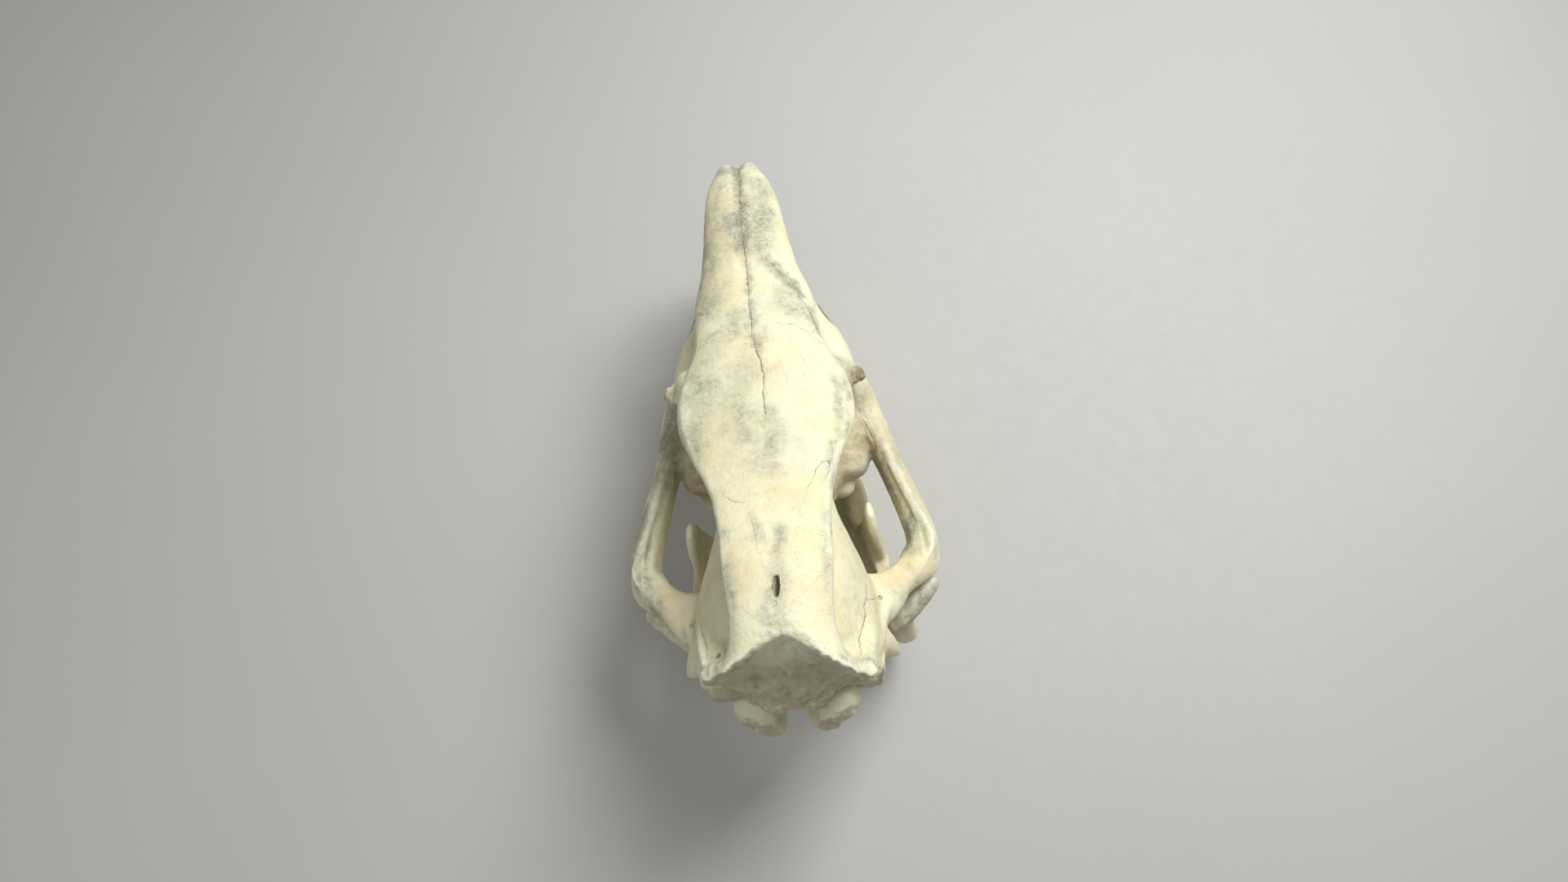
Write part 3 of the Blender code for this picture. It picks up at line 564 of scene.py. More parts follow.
# The lower jaw
# Ramus, coronoid and neck are rows for blade, the others for sweep.
jaw = {
    "body": [
        (15, 424, 82, 12, 15, 0), (22, 402, 70, 12.5, 24, 0), (31, 370, 58, 13, 36, -2),
        (39, 335, 52, 13.5, 43, -4), (46, 300, 48, 14, 47, -5), (53, 260, 46, 14.5, 49, -6),
        (59, 220, 45, 15, 49, -7), (60, 180, 45, 13, 48, -8), (61, 145, 48, 10.5, 47, -8),
        (72, 108, 55, 10, 51, -10), (85, 72, 60, 10, 56, -10), (93, 40, 66, 10, 52, -6),
    ],
    "crypt": dict(centre=(71, 150, 82), radii=(14, 38, 30)),
    "chin": [
        (0, 452, 92, 20, 9, 0), (0, 436, 86, 27, 12, 0), (0, 412, 76, 31, 17, 0), (0, 385, 68, 30, 20, 0),
        (0, 360, 66, 22, 16, 0),
    ],
    "ramus": [
        (4, 61, 141, 80, 62, 8), (30, 63, 142, 91, 30, 9.5), (60, 67, 135, 98, 14, 10),
        (95, 72, 127, 101, 10, 9.5), (125, 76, 122, 99, 14, 8.5), (150, 79, 118, 97, 22, 8),
        (166, 80, 116, 95, 30, 7.5),
    ],
    "coronoid": [
        (150, 79, 118, 90, 68, 7), (172, 80, 117, 89.5, 71, 6), (195, 81, 116, 87.5, 75, 5),
        (218, 81.5, 114, 85.5, 80, 4.5), (236, 81.5, 111, 84, 87, 4), (246, 81.5, 106, 83, 95, 3.5),
    ],
    "neck": [(146, 92, 62, 102, 18, 8.5), (164, 96, 52, 106, 19, 9.5), (178, 104, 42, 110, 19, 11)],
    "rearRim": [
        (88, 54, 9, 9, 9, 0), (95, 30, 34, 11, 11, 0), (104, 12, 68, 12, 12, 0), (105, 10, 96, 12, 12, 0),
        (101, 14, 126, 11, 11, 0), (101, 18, 152, 10, 10, 0), (104, 20, 174, 11, 10, 0),
    ],
    "joint": [
        (93, 6, 174, 8, 9, 0), (102, 13, 179, 10.5, 11, 0), (114, 24, 182, 11, 11, 0),
        (125, 34, 183, 10.5, 10.5, 0), (131, 39, 183, 9, 9, 0),
    ],
}


def jawPlaced(points):
    turn = math.radians(place["jawYaw"])
    x, y, z = points.T
    ahead = y - place["jawMiddleY"]
    lean = place["jawLean"] * (place["leanHeight"] - z)
    return np.stack([
        x * math.cos(turn) - ahead * math.sin(turn) + place["jawShift"] + lean,
        x * math.sin(turn) + ahead * math.cos(turn) + place["jawMiddleY"], z,
    ], 1)


def jawMesh():
    j = jaw
    shapes = bothSides(
        sweep(j["body"], 2.6), blade(j["ramus"]), blade(j["coronoid"]), blade(j["neck"]),
        sweep(j["rearRim"], upright=True), sweep(j["joint"]),
    )
    shapes += [sweep(j["chin"], 2.4), egg(**j["crypt"])]
    bone = largestBody(grained(meshOf(shapes, "jaw"), grain["jawVoxel"], grain["softSteps"]))
    setPoints(bone, jawPlaced(pointsOf(bone)))
    report("jaw grown together, {} points".format(len(bone.vertices)))
    return bone


# The surface of the bone
surface = {
    # waves of the surface: length, octaves, height, seed
    "craniumWaves": ((60, 2, 0.8, 3.1), (18, 3, 0.4, 3.1), (6, 3, 0.14, 3.1)),
    "jawWaves": ((40, 2, 0.8, 5.0), (14, 3, 0.4, 6.0), (6, 3, 0.14, 8.0)),
    # muscle scars on the back of the head: height, wave length, and how long they are drawn
    "scarHeight": 2.2, "scarSize": 9, "scarStretch": (1, 1, 0.35),
    "backFacing": (0.35, 0.8), "backBehind": (20, 40),   # where they set in: rearward normal, and -y
    "crackDepth": 0.6, "crackReach": 1.3, "crackWander": 1.1, "crackWanderSize": 5,
    "sutureDepth": 0.5, "sutureWidth": 0.9,
    "sutureOpen": 0.9, "suturePatches": 0.6, "suturePatchSize": 20,   # openness varies along a seam
    "shutShare": 0.85,                  # how far a seam closes where it has grown shut
    "wobble": ((9, 1.6), (3.5, 0.7)),   # wave length and height of the sutures' zigzag
    "wobbleSeed": 4,                    # noise_vector starts from the clock unless it is given a seed
    "freshDistance": 0.01,              # a point further than this from the whole bone is on a seam
    "gridStep": 2.6,                    # grain of the planes that cut the seams
}

# Foramina and slots: centre, radii, turn, and how much painted shade there is inside.
foramina = [
    ((-0.4, 20.7, 362), (2.1, 8.5, 8), (0, 0, -4), 0.9),
    ((-2.9, 6.6, 365.2), (1.4, 2.6, 2.2), (0, 0, -8), 0.3),
    ((85, 23, 231), (2.6, 2.3, 2.0), (0, 0, 0), 0.3),
    ((79, 34, 228), (1.3, 1.3, 2), (0, 0, 0), 0.35),
    ((59, -19, 317), (1.3, 1.6, 3), (0, 0, 0), 0.45),
    ((-85, 17, 235), (2.4, 2.8, 2.6), (0, 0, 0), 0.3),
    ((-54, -24, 331), (2.2, 3.2, 5), (0, 0, 0), 0.5),
]
faceForamenShade = 0.9
shadeReach = (1.35, 1.1)   # a foramen's painted shade fades between these, in its radii


def shadeInsideForamina(points):
    # the painted shade inside a foramen at each point, and 0 outside
    dark = np.zeros(len(points))
    (x, y, z), radii, (turnX, turnY, turnZ) = cranium["faceForamen"].values()
    right = ((x, y, z), radii, (turnX, turnY, turnZ), faceForamenShade)
    left = ((-x, y, z), radii, (turnX, -turnY, -turnZ), faceForamenShade)
    for at, radii, turn, depth in foramina + [right, left]:
        local = (points - at) @ turned(turn) / radii
        dark = np.maximum(dark, depth * ramp(np.linalg.norm(local, axis=1), *shadeReach))
    return dark


# Lines that stand proud (positive) or are sunk (negative): points, half width, height.
ridgeLines = [
    ([(58, 134, 310), (50, 110, 322), (45, 70, 338), (41, 30, 346), (40, 3, 352), (42, -17, 352),
      (50, -36, 343)], 4.0, 1.4),
    ([(-58, 134, 310), (-50, 110, 322), (-45, 70, 338), (-42, 30, 346), (-41, 3, 352), (-44, -17, 350),
      (-52, -34, 341)], 4.0, 1.2),
    ([(-69, 222, 286), (-72, 203, 287), (-72, 183, 291), (-67, 162, 295), (-61, 141, 298), (-51, 118, 311)],
     5.0, 1.6),
    ([(71, 221, 287), (73, 200, 290), (71, 176, 295), (66, 152, 300), (56, 131, 308), (49, 111, 318)],
     5.0, 1.6),
    ([(-75, 12, 280), (-72, -6, 296), (-67, -28, 322)], 3.0, 1.5),
    ([(-70, 40, 270), (-67, 10, 300), (-58, -18, 328)], 2.4, 1.0),
    ([(-3, 478, 253), (-4, 453, 261), (-4, 415, 270), (-5, 390, 274), (-6, 364, 277), (-4, 330, 283)],
     6.0, -1.6),
    ([(-3, 482, 252), (-4, 455, 261), (-4, 428, 267)], 4.0, -1.4),
    ([(18, 350, 277), (32, 323, 279), (43, 307, 278), (53, 290, 277), (58, 269, 276)], 5.0, -1.0),
    ([(4, 70, 345), (-1, 46, 352), (-3, 20, 362), (-4, -10, 364)], 7.0, -1.4),
    ([(2, -26, 340), (1, -34, 313), (1, -44, 284), (1, -55, 254), (1, -64, 239)], 4.0, 2.2),
    ([(-40, -42, 272), (-32, -48, 260), (-21, -54, 252)], 3.0, 1.8),
    ([(-21, -36, 300), (-15, -46, 273), (-14, -56, 248)], 3.0, 1.3),
    ([(35, -46, 266), (24, -53, 251), (12, -58, 245)], 3.0, 1.8),
    ([(-31, -37, 300), (-27, -42, 276)], 11.0, -4.0),
    ([(20, -40, 296), (23, -46, 272)], 11.0, -4.0),
    ([(84, 228, 197), (86, 216, 196), (93, 204, 193), (97, 194, 191), (97, 183, 190)], 2.6, 1.8),
    ([(96, 226, 197), (98, 206, 192), (105, 186, 190), (108, 170, 188)], 2.6, 1.6),
    ([(112, 157, 196), (120, 133, 195), (127, 113, 197), (131, 92, 198), (132, 78, 201), (131, 62, 211)],
     2.0, 1.2),
    ([(-112, 157, 196), (-120, 133, 195), (-127, 113, 197), (-131, 92, 198), (-132, 78, 201),
      (-131, 62, 211)], 2.0, 1.2),
    ([(138, 108, 200), (142, 84, 203), (140, 68, 208), (130, 53, 216)], 2.2, 1.4),
    ([(-138, 108, 200), (-142, 84, 203), (-140, 68, 208), (-130, 53, 216)], 2.2, 1.4),
]

# Places that are rougher: centre, reach, height, wave length.
roughSpots = [
    ((-3, 392, 274), 13, 0.8, 4), ((-3, 430, 268), 12, 0.5, 4), ((0, 100, 330), 60, 0.25, 5),
    ((90, 231, 252), 11, 2.2, 4), ((-86, 230, 253), 11, 2.0, 4), ((0, -75, 225), 34, 1.2, 7),
    ((74, -45, 320), 22, 1.0, 5), ((-74, -45, 320), 22, 1.0, 5), ((0, -22, 362), 24, 0.9, 4),
    ((128, 66, 185), 22, 0.9, 6), ((-128, 66, 185), 22, 0.9, 6), ((70, 185, 185), 36, 1.3, 9),
    ((-70, 185, 185), 36, 1.3, 9), ((96, 205, 195), 26, 1.0, 8), ((-96, 205, 195), 26, 1.0, 8),
]
jawRoughSpots = [
    ((118, 20, 188), 34, 0.8, 9), ((-112, 20, 188), 34, 0.8, 9), ((80, 110, 165), 45, 1.1, 9),
    ((-74, 110, 165), 45, 1.1, 9),
]

# Regions whose creases are filled: centre, radii.
creases = [
    ((70, 10, 285), (17, 24, 26)), ((-70, 10, 285), (14, 22, 24)), ((96, 206, 205), (16, 30, 22)),
    ((-96, 206, 205), (16, 30, 22)), ((110, 48, 212), (30, 24, 16)), ((-110, 48, 212), (30, 24, 16)),
    ((0, -66, 232), (34, 16, 18)),
]

jawCreases = [((80, 150, 82), (26, 44, 38))]

# Fine open seams and cracks within one bone: width, points.
cracks = [
    (1.0, [(-2, 260, 293), (-1, 248, 295), (2, 238, 297), (3.8, 221, 299), (2.4, 204, 301), (2, 193, 302),
           (2.6, 184, 304)]),
    (0.7, [(43, 307, 278), (53, 290, 277), (58, 269, 276), (63, 256, 275), (70, 246, 274), (77, 236, 273)]),
    (1.3, [(88, 224, 197), (90, 212, 195), (96, 199, 191), (101, 187, 190), (104, 176, 189)]),
    (0.5, [(32, 105, 327), (37, 114, 322), (41, 123, 318), (46, 130, 314), (52, 132, 311), (52, 124, 314),
           (48, 114, 319)]),
    (0.45, [(-40, 110, 322), (-35, 103, 326), (-29, 99, 330), (-20, 97, 332)]),
    (1.0, [(57, 80, 280), (63, 60, 272), (70, 46, 264), (73, 36, 264), (72.6, 24, 275), (70.5, 14.5, 283.5),
           (67.3, 7, 293), (67.6, -1, 294.5), (64.5, -10, 304), (60, -21, 313), (61, -36, 330)]),
    (0.8, [(71, 14, 281.5), (78.4, 18.5, 253.6), (83, 22, 238)]),
    (0.6, [(-52, 302, 273), (-48, 298, 277), (-44, 297, 280)]),
    (0.8, [(-118, 153, 195), (-113, 134, 182), (-110, 117, 171)]),
    (0.4, [(-17, 82, 340), (-15, 70, 344), (-13, 60, 347)]),
    (0.6, [(-71, 46, 268), (-74, 30, 266), (-72, 12, 280), (-66, -8, 303), (-62, -30, 324)]),
]

# Parting cuts in order: bones, centre, size, turn, and how open the seam shows.
cuts = [
    (("premaxilla_right", "premaxilla_left"), (60.15, 450, 140), (120, 160, 140), (0, 0, 0), 0.5),
    (("nasal_right", "nasal_left"), (60.15, 410, 270), (120, 260, 100), (-14, 0, 0), 1.0),
    (("zygomatic_right", "zygomatic_left"), (150, 128, 170), (90, 140, 140), (0, 0, 16), 0.1),
    (("temporal_right", "temporal_left"), (122, 30, 230), (124, 130, 220), (0, 0, 0), 0.15),
    (("occipital",), (0, -98, 250), (260, 160, 330), (-13, 0, 0), 0.0),
    (("skull_base",), (0, 40, 130), (124, 210, 150), (0, 0, 0), 0.2),
    (("frontal",), (0, 198, 292), (260, 186, 100), (0, 0, 0), 0.0),
    (("parietal",), (0, 20, 280), (260, 236, 400), (0, 0, 0), 0.0),
    (("maxilla_right", "maxilla_left"), (100.15, 250, 180), (200, 330, 250), (0, 0, 0), 0.2),
]
jawCuts = [
    (("mandible_chin",), (0, 440, 80), (200, 120, 240), (0, 0, 0), 0.2),
    (("mandible_ramus_right", "mandible_ramus_left"), (130, 50, 130), (240, 210, 300), (0, 0, 0), 0.1),
    (("mandible_body_right", "mandible_body_left"), (130.2, 270, 80), (260, 300, 300), (0, 0, 0), 0.1),
]
seamGap = (0.03, 0.07)   # half the gap of a closed seam, and what an open one adds

# The seam between the nasals, and the one behind them, as measured across and along.
nasalSeam = {
    "alongY": (252, 279, 302, 326, 349, 370, 387, 408, 452, 490),
    "alongX": (-2, -3.3, -3, -2.7, -2.4, -3.3, -4.3, -3.6, -1.4, -1.4),
    "acrossX": (-70, -56, -46, -35, -21, -11, -2, 6, 15, 22, 38, 56, 70),
    "acrossY": (-20, -18, -16, -13, -8.5, -13, -22, -10, -3, -7, -8, -24, -26),
    "alongReach": 30, "acrossFront": 340, "acrossReach": 50,   # how far each one bends the cut
}

# The seam between braincase and temporal: y and shift outwards, in full up to innerX, gone over reach.
squamaSeam = {"y": (-45, -18, 15, 32, 62, 80), "out": (5, 4, 10, 11, 6, 4), "innerX": 60, "reach": 40}


def seamField(name, points):
    # moves the planes of a cut to where the seam runs, then makes them zigzag
    x, y, z = points.T
    moved = points.copy()
    if name.startswith("nasal"):
        sideways = np.interp(y, nasalSeam["alongY"], nasalSeam["alongX"])
        backwards = np.interp(x, nasalSeam["acrossX"], nasalSeam["acrossY"])
        moved[:, 0] += sideways * np.clip(1 - np.abs(x) / nasalSeam["alongReach"], 0, 1)
        behind = (nasalSeam["acrossFront"] - y) / nasalSeam["acrossReach"]
        moved[:, 1] += backwards * np.clip(behind, 0, 1)
    if name.startswith("temporal"):
        side = 1 if name.endswith("right") else -1
        outwards = (np.abs(x) - squamaSeam["innerX"]) / squamaSeam["reach"]
        edge = np.clip(1 - outwards, 0, 1) * (x * side > 0)
        moved[:, 0] += side * edge * np.interp(y, squamaSeam["y"], squamaSeam["out"])
    for size, height in surface["wobble"]:
        shift = np.array([noise.noise_vector(p) for p in points / size])
        moved += shift * height
    return moved


def gridBox(centre, size, turn):
    # a box whose sides are grids, so that they can zigzag
    counts = [max(2, int(s / surface["gridStep"])) for s in size]
    points, faces = [], []
    for axis in range(3):
        u, v = (axis + 1) % 3, (axis + 2) % 3
        for side in (-0.5, 0.5):
            start = len(points)
            for i in range(counts[u] + 1):
                for k in range(counts[v] + 1):
                    p = [0.0] * 3
                    p[axis], p[u] = side * size[axis], (i / counts[u] - 0.5) * size[u]
                    p[v] = (k / counts[v] - 0.5) * size[v]
                    points.append(p)
            for i in range(counts[u]):
                for k in range(counts[v]):
                    a = start + i * (counts[v] + 1) + k
                    quad = (a, a + counts[v] + 1, a + counts[v] + 2, a + 1)
                    faces.append(quad if side > 0 else quad[::-1])
    return np.array(points) @ turned(turn).T + centre, faces


def cutterMeshes(name, centre, size, turn, grow):
    # one box that takes the bone out of the whole, and a larger one that takes it off the rest
    inner, faces = gridBox(centre, size, turn)
    shift = seamField(name, inner) - inner
    wide = np.array(size) + 2 * grow
    local = (inner - centre) @ turned(turn)
    outer = (local * wide / np.array(size)) @ turned(turn).T + centre
    cutters = []
    for points in (inner, outer):
        mesh = meshOf([(points + shift, faces)], "cutter")
        bm = bmesh.new()
        bm.from_mesh(mesh)
        bmesh.ops.remove_doubles(bm, verts=bm.verts, dist=grain["weld"])
        bmesh.ops.recalc_face_normals(bm, faces=bm.faces)
        bm.to_mesh(mesh)
        bm.free()
        cutters.append(mesh)
    return cutters


def parted(whole, cutList):
    # cuts one grown bone into its bones, and keeps the points of each seam
    bones, marks, tree = {}, [], treeOf(pointsOf(whole))
    for names, centre, size, turn, openness in cutList:
        for name in names:
            flip = name.endswith("_left")
            at = (-centre[0], *centre[1:]) if flip else centre
            spin = (turn[0], -turn[1], -turn[2]) if flip else turn
            inner, outer = cutterMeshes(name, at, size, spin, seamGap[0] + seamGap[1] * openness)
            bones[name] = largestBody(withBoolean(whole.copy(), inner, "INTERSECT"))
            whole = withBoolean(whole, outer, "DIFFERENCE")
            made = pointsOf(bones[name])
            fresh = [p for p in made if tree.find(p)[2] > surface["freshDistance"]]
            marks += [(p, openness) for p in fresh[::2]]   # every other point is enough
        report("parted " + names[0])
    return bones, marks


def treeOf(points):
    tree = kdtree.KDTree(len(points))
    for i, p in enumerate(points):
        tree.insert(p, i)
    tree.balance()
    return tree


def creasesFilled(mesh, regions, steps, reach=1.6, fade=0.9):
    # in full up to reach - fade of a region's radii, and not at all beyond its reach
    points = pointsOf(mesh)
    weight = np.zeros(len(points))
    for centre, radii in regions:
        away = np.linalg.norm((points - centre) / radii, axis=1)
        weight = np.maximum(weight, ramp(reach - away, 0, fade))
    setPoints(mesh, relaxed(points, edgesOf(mesh), weight, steps))


def addWaves(lift, points, waves):
    for size, octaves, height, seed in waves:
        lift += fractal(points, size, octaves, seed) * height


def craniumDetail(whole):
    creasesFilled(whole, creases, grain["creaseSteps"])
    points, normals = pointsOf(whole), pointsOf(whole, "normal")
    lift = np.zeros(len(points))
    addWaves(lift, points, surface["craniumWaves"])
    report("waves on the cranium")
    back = ramp(-normals[:, 1], *surface["backFacing"]) * ramp(-points[:, 1], *surface["backBehind"])
    scars = fractal(points * surface["scarStretch"], surface["scarSize"], seed=7.7)
    lift += back * scars * surface["scarHeight"]
    for path, wide, height in ridgeLines:
        lift += height * np.exp(-(distanceTo(points, path) / wide) ** 2)
    lift += roughness(points, roughSpots)
    warped = points + surface["crackWander"] * vectorNoise(points, surface["crackWanderSize"], 1.0)
    crack = lineField(warped, normals, cracks)
    lift -= surface["crackDepth"] * np.exp(-(crack / surface["crackReach"]) ** 2)
    setPoints(whole, points + normals * lift[:, None])
    return crack


def jawDetail(whole):
    creasesFilled(whole, jawCreases, grain["jawCreaseSteps"])
    points, normals = pointsOf(whole), pointsOf(whole, "normal")
    lift = roughness(points, jawRoughSpots)
    addWaves(lift, points, surface["jawWaves"])
    points = points + normals * lift[:, None]
    points[:, 2] = np.maximum(points[:, 2], 0)   # the lower edge stays on the floor
    setPoints(whole, points)


def roughness(points, spots):
    lift = np.zeros(len(points))
    for centre, reach, height, size in spots:
        near = np.linalg.norm(points - centre, axis=1) < reach * 2
        close = np.exp(-(np.linalg.norm(points[near] - centre, axis=1) / reach) ** 2)
        lift[near] += close * height * fractal(points[near], size, seed=9.0)
    return lift


def cavityOf(mesh, steps=6):
    # how hollow (positive) or raised (negative) the surface is, against its average over some steps
    points, normals, pairs = pointsOf(mesh), pointsOf(mesh, "normal"), edgesOf(mesh)
    count = np.bincount(pairs.ravel(), minlength=len(points))[:, None]

    def averaged(values):
        total = np.zeros_like(values)
        np.add.at(total, pairs[:, 0], values[pairs[:, 1]])
        np.add.at(total, pairs[:, 1], values[pairs[:, 0]])
        return total / np.maximum(count, 1)

    soft = points
    for _ in range(steps):
        soft = averaged(soft)
    hollow = ((soft - points) * normals).sum(1)[:, None]
    return averaged(hollow)[:, 0]


# The stains, some of them painted shade: points of a line, reach, strength
stainAndShadeLines = [
    ([(-4, 470, 255), (-4, 453, 261), (-4, 415, 270), (-5, 390, 274), (-6, 364, 277)], 14, 1.1),
    ([(-14, 468, 252), (-2, 476, 250), (14, 472, 252)], 15, 1.15),
    ([(-3, 364, 278), (-3, 300, 287), (-1, 250, 295)], 5, 0.7),
    ([(17, 440, 263), (19, 398, 270), (14, 364, 276)], 16, 0.8),
    ([(18, 350, 277), (32, 323, 279), (43, 307, 278), (53, 290, 277), (58, 269, 276)], 8, 1.0),
    ([(28, 303, 284), (38, 293, 283)], 15, 0.8),
    ([(70, 246, 274), (76, 240, 270), (78, 228, 274)], 8, 0.6),
    ([(-15, 289, 288), (-14, 280, 289)], 12, 0.6),
    ([(-44, 267, 286), (-28, 269, 290), (-11, 271, 291)], 7, 0.5),
    ([(-18, 224, 298), (-22, 196, 301), (-19, 167, 308)], 22, 0.5),
    ([(2, 193, 302), (3, 172, 307), (5, 147, 314), (7, 126, 321)], 10, 0.55),
    ([(-64, 213, 290), (-69, 186, 292), (-62, 158, 299)], 9, 0.6),
    ([(69, 214, 289), (71, 204, 291), (69, 168, 297), (58, 143, 305), (48, 111, 318)], 6, 0.75),
    ([(-50, 222, 293), (-54, 198, 296), (-59, 175, 299)], 18, 0.6),
    # painted shade on the slope of the left nasal
    ([(-22, 440, 262), (-25, 420, 266), (-28, 390, 269)], 10, 0.55),
    ([(11, 150, 313), (-10, 133, 318)], 17, 0.35),
    # painted shade on the slope of the left nasal
    ([(-34, 400, 264), (-40, 350, 272), (-46, 300, 279)], 18, 0.65),
    ([(-36, 262, 286), (-50, 236, 289)], 16, 0.35),
    ([(4, 64, 347), (-1, 46, 352), (-4, 10, 364), (-4, -14, 364)], 8, 0.6),
    ([(-38, 52, 340), (-34, 20, 352)], 9, 0.4),
    # this line and the next are painted shade where the surface turns down at the temporal ridges
    ([(-45, 70, 333), (-43, 40, 343), (-39, 14, 352), (-42, -7, 347), (-56, -34, 339)], 8, 0.75),
    ([(47, 80, 331), (41, 43, 346), (41, 9, 350), (43, -11, 345), (52, -32, 340)], 6, 0.6),
    ([(-66, -42, 331), (-39, -36, 348), (-19, -27, 360), (-3, -18, 364), (13, -25, 360), (39, -40, 347),
      (74, -43, 322)], 6, 0.6),
    ([(-127, 140, 198), (-135, 115, 196), (-138, 85, 203), (-131, 55, 214), (-119, 40, 216)], 10, 1.2),
    ([(98, 224, 212), (106, 200, 204), (112, 180, 200), (118, 158, 200)], 11, 0.5),
    ([(127, 141, 195), (137, 102, 199), (141, 68, 208)], 6, 0.5),
    ([(-61, 32, 299), (-58, -4, 310)], 16, 0.2),
    ([(-17, 82, 340), (-13, 60, 347)], 6, 0.5),
    ([(-90, 235, 225), (-94, 220, 202), (-100, 198, 194), (-107, 173, 196)], 18, 1.2),
    ([(-102, 188, 188), (-110, 165, 184)], 16, 0.9),
    ([(-120, 130, 182), (-126, 100, 184), (-118, 76, 195)], 14, 0.3),
    ([(106, 165, 178), (115, 130, 176), (120, 100, 178), (116, 78, 192)], 15, 1.3),
    ([(108, 24, 212), (122, 30, 205)], 14, 0.6),
]
jawStainLines = [
    ([(138, 37, 191), (110, 13, 191), (98, 1, 180)], 26, 0.95),
    ([(-132, 37, 191), (-104, 13, 191), (-92, 1, 180)], 26, 0.6),
]
# grime, and painted shade under the orbits and in the hollows of the knobs
grimeAndShadeSpots = [
    ((66, 168, 182), 36, 0.8), ((86, 186, 188), 22, 0.7), ((-66, 168, 182), 38, 0.85),
    ((-88, 192, 190), 24, 0.6), ((91, 231, 252), 12, 1.2), ((-90, 231, 250), 8, 0.7),
    ((0, -80, 215), 36, 0.4), ((44, 130, 200), 34, 0.5), ((117, 47, 213), 5, 0.6),
    ((-44, 130, 200), 34, 0.5), ((0, 474, 250), 9, 0.35),
]
jawGrimeSpots = [
    ((74, 122, 95), 42, 0.55), ((81, 94, 128), 34, 0.5), ((112, 8, 150), 34, 0.5), ((124, 24, 178), 20, 0.4),
    ((-78, 95, 225), 34, 0.25),
]
tanSpots = [
    ((-112, 45, 215), 34, 0.55), ((-70, 14, 270), 44, 0.45), ((100, 40, 216), 34, 0.55),
    ((127, 141, 205), 40, 0.35), ((-28, 387, 268), 40, 0.45), ((-30, 334, 276), 40, 0.35),
    ((-12, 249, 295), 45, 0.4), ((23, 228, 297), 40, 0.35), ((-12, 108, 328), 35, 0.4),
    ((-38, 154, 309), 35, 0.45), ((70, 185, 190), 40, 0.7), ((-70, 185, 190), 40, 0.6),
    ((-20, 30, 355), 30, 0.35), ((28, 20, 355), 34, 0.4),
]
jawTanSpots = [
    ((122, 24, 186), 30, 0.7), ((-116, 24, 186), 30, 0.6), ((82, 97, 163), 45, 0.9),
    ((88, 74, 172), 40, 0.8), ((75, 130, 106), 45, 0.7), ((-79, 96, 200), 50, 0.75),
]


paint = {
    "patchSize": 22, "patchOctaves": 4,
    "drift": ((7, 26, 21.0), (4, 8, 27.0)),   # how far the lines of stain and painted shade stray, wave length, seed
    # the least strength of each kind of mark, and what the patches add
    "stainAndShadePatches": (0.65, 0.8), "tanPatches": (0.5, 1.0), "grimeAndShadePatches": (0.6, 0.7),
    # painted shade and grime cover the back of the head: how much, and where it sets in by rearward normal
    # and -y
    "backShadeAndGrime": 0.58, "backFacing": (0.3, 0.7), "backBehind": (25, 40),
}


def spotted(layer, points, spots, patches):
    for spot, reach, strength in spots:
        near = np.exp(-(np.linalg.norm(points - spot, axis=1) / reach) ** 2)
        layer = np.maximum(layer, near * strength * patches)
    return layer


def paintPiece(mesh, isJaw=False):
    # stains, grime and painted shade by their place on the bone
    points, normals = pointsOf(mesh), pointsOf(mesh, "normal")
    patchy = 0.5 + 0.5 * fractal(points, paint["patchSize"], paint["patchOctaves"], 11.0)
    drifted = points
    for far, size, seed in paint["drift"]:
        drifted = drifted + far * vectorNoise(points, size, seed)
    stainAndShade = np.zeros(len(points))
    least, more = paint["stainAndShadePatches"]
    for path, reach, strength in jawStainLines if isJaw else stainAndShadeLines:
        near = np.exp(-(distanceTo(drifted, path) / reach) ** 2)
        stainAndShade = np.maximum(stainAndShade, near * strength * (least + more * patchy))
    least, more = paint["tanPatches"]
    tan = spotted(np.zeros(len(points)), points, jawTanSpots if isJaw else tanSpots, least + more * patchy)
    # painted shade and grime on the rear-facing back of the head
    back = ramp(-normals[:, 1], *paint["backFacing"]) * ramp(-points[:, 1], *paint["backBehind"])
    least, more = paint["grimeAndShadePatches"]
    spotsOfGrimeAndShade = jawGrimeSpots if isJaw else grimeAndShadeSpots
    grimeAndShade = spotted(back * paint["backShadeAndGrime"], points, spotsOfGrimeAndShade, least + more * patchy)
    # painted shade inside the foramina
    pitShade = np.zeros(len(points)) if isJaw else shadeInsideForamina(points)
    setLayers(mesh, {"stainAndShade": stainAndShade, "tan": tan, "grimeAndShade": grimeAndShade, "pitShade": pitShade})


def setLayers(mesh, layers):
    for key, values in layers.items():
        layer = mesh.attributes.get(key) or mesh.attributes.new(key, "FLOAT", "POINT")
        layer.data.foreach_set("value", values.astype(np.float32))


grownShut = [((-3, 392, 274), 26), ((-3, 455, 260), 26)]   # where a seam hardly shows: centre, reach


def dressed(bones, whole, marks, crack, isJaw=False):
    # sinks the seams of the cut bones, and gives them their paint
    points, normals, hollow = pointsOf(whole), pointsOf(whole, "normal"), cavityOf(whole)
    tree = treeOf(points)
    markTree = treeOf([p for p, _ in marks])
    for name, mesh in bones.items():
        own = pointsOf(mesh)
        nearest = np.array([tree.find(p)[1] for p in own])
        found = [markTree.find(p) for p in own]
        patches = fractal(own, surface["suturePatchSize"], seed=15.0)
        openness = np.array([marks[f[1]][1] for f in found])
        openness = openness * (surface["sutureOpen"] + surface["suturePatches"] * patches)
        for spot, reach in grownShut:
            shut = np.exp(-(np.linalg.norm(own - spot, axis=1) / reach) ** 2)
            openness *= 1 - surface["shutShare"] * shut
        away = np.array([f[2] for f in found])
        edge = openness * np.exp(-(away / surface["sutureWidth"]) ** 2)
        setPoints(mesh, own - normals[nearest] * (edge * surface["sutureDepth"])[:, None])
        setLayers(mesh, {"hollow": hollow[nearest], "seam": edge, "crack": crack[nearest]})
        paintPiece(mesh, isJaw)
    report("painted {} bones".format(len(bones)))


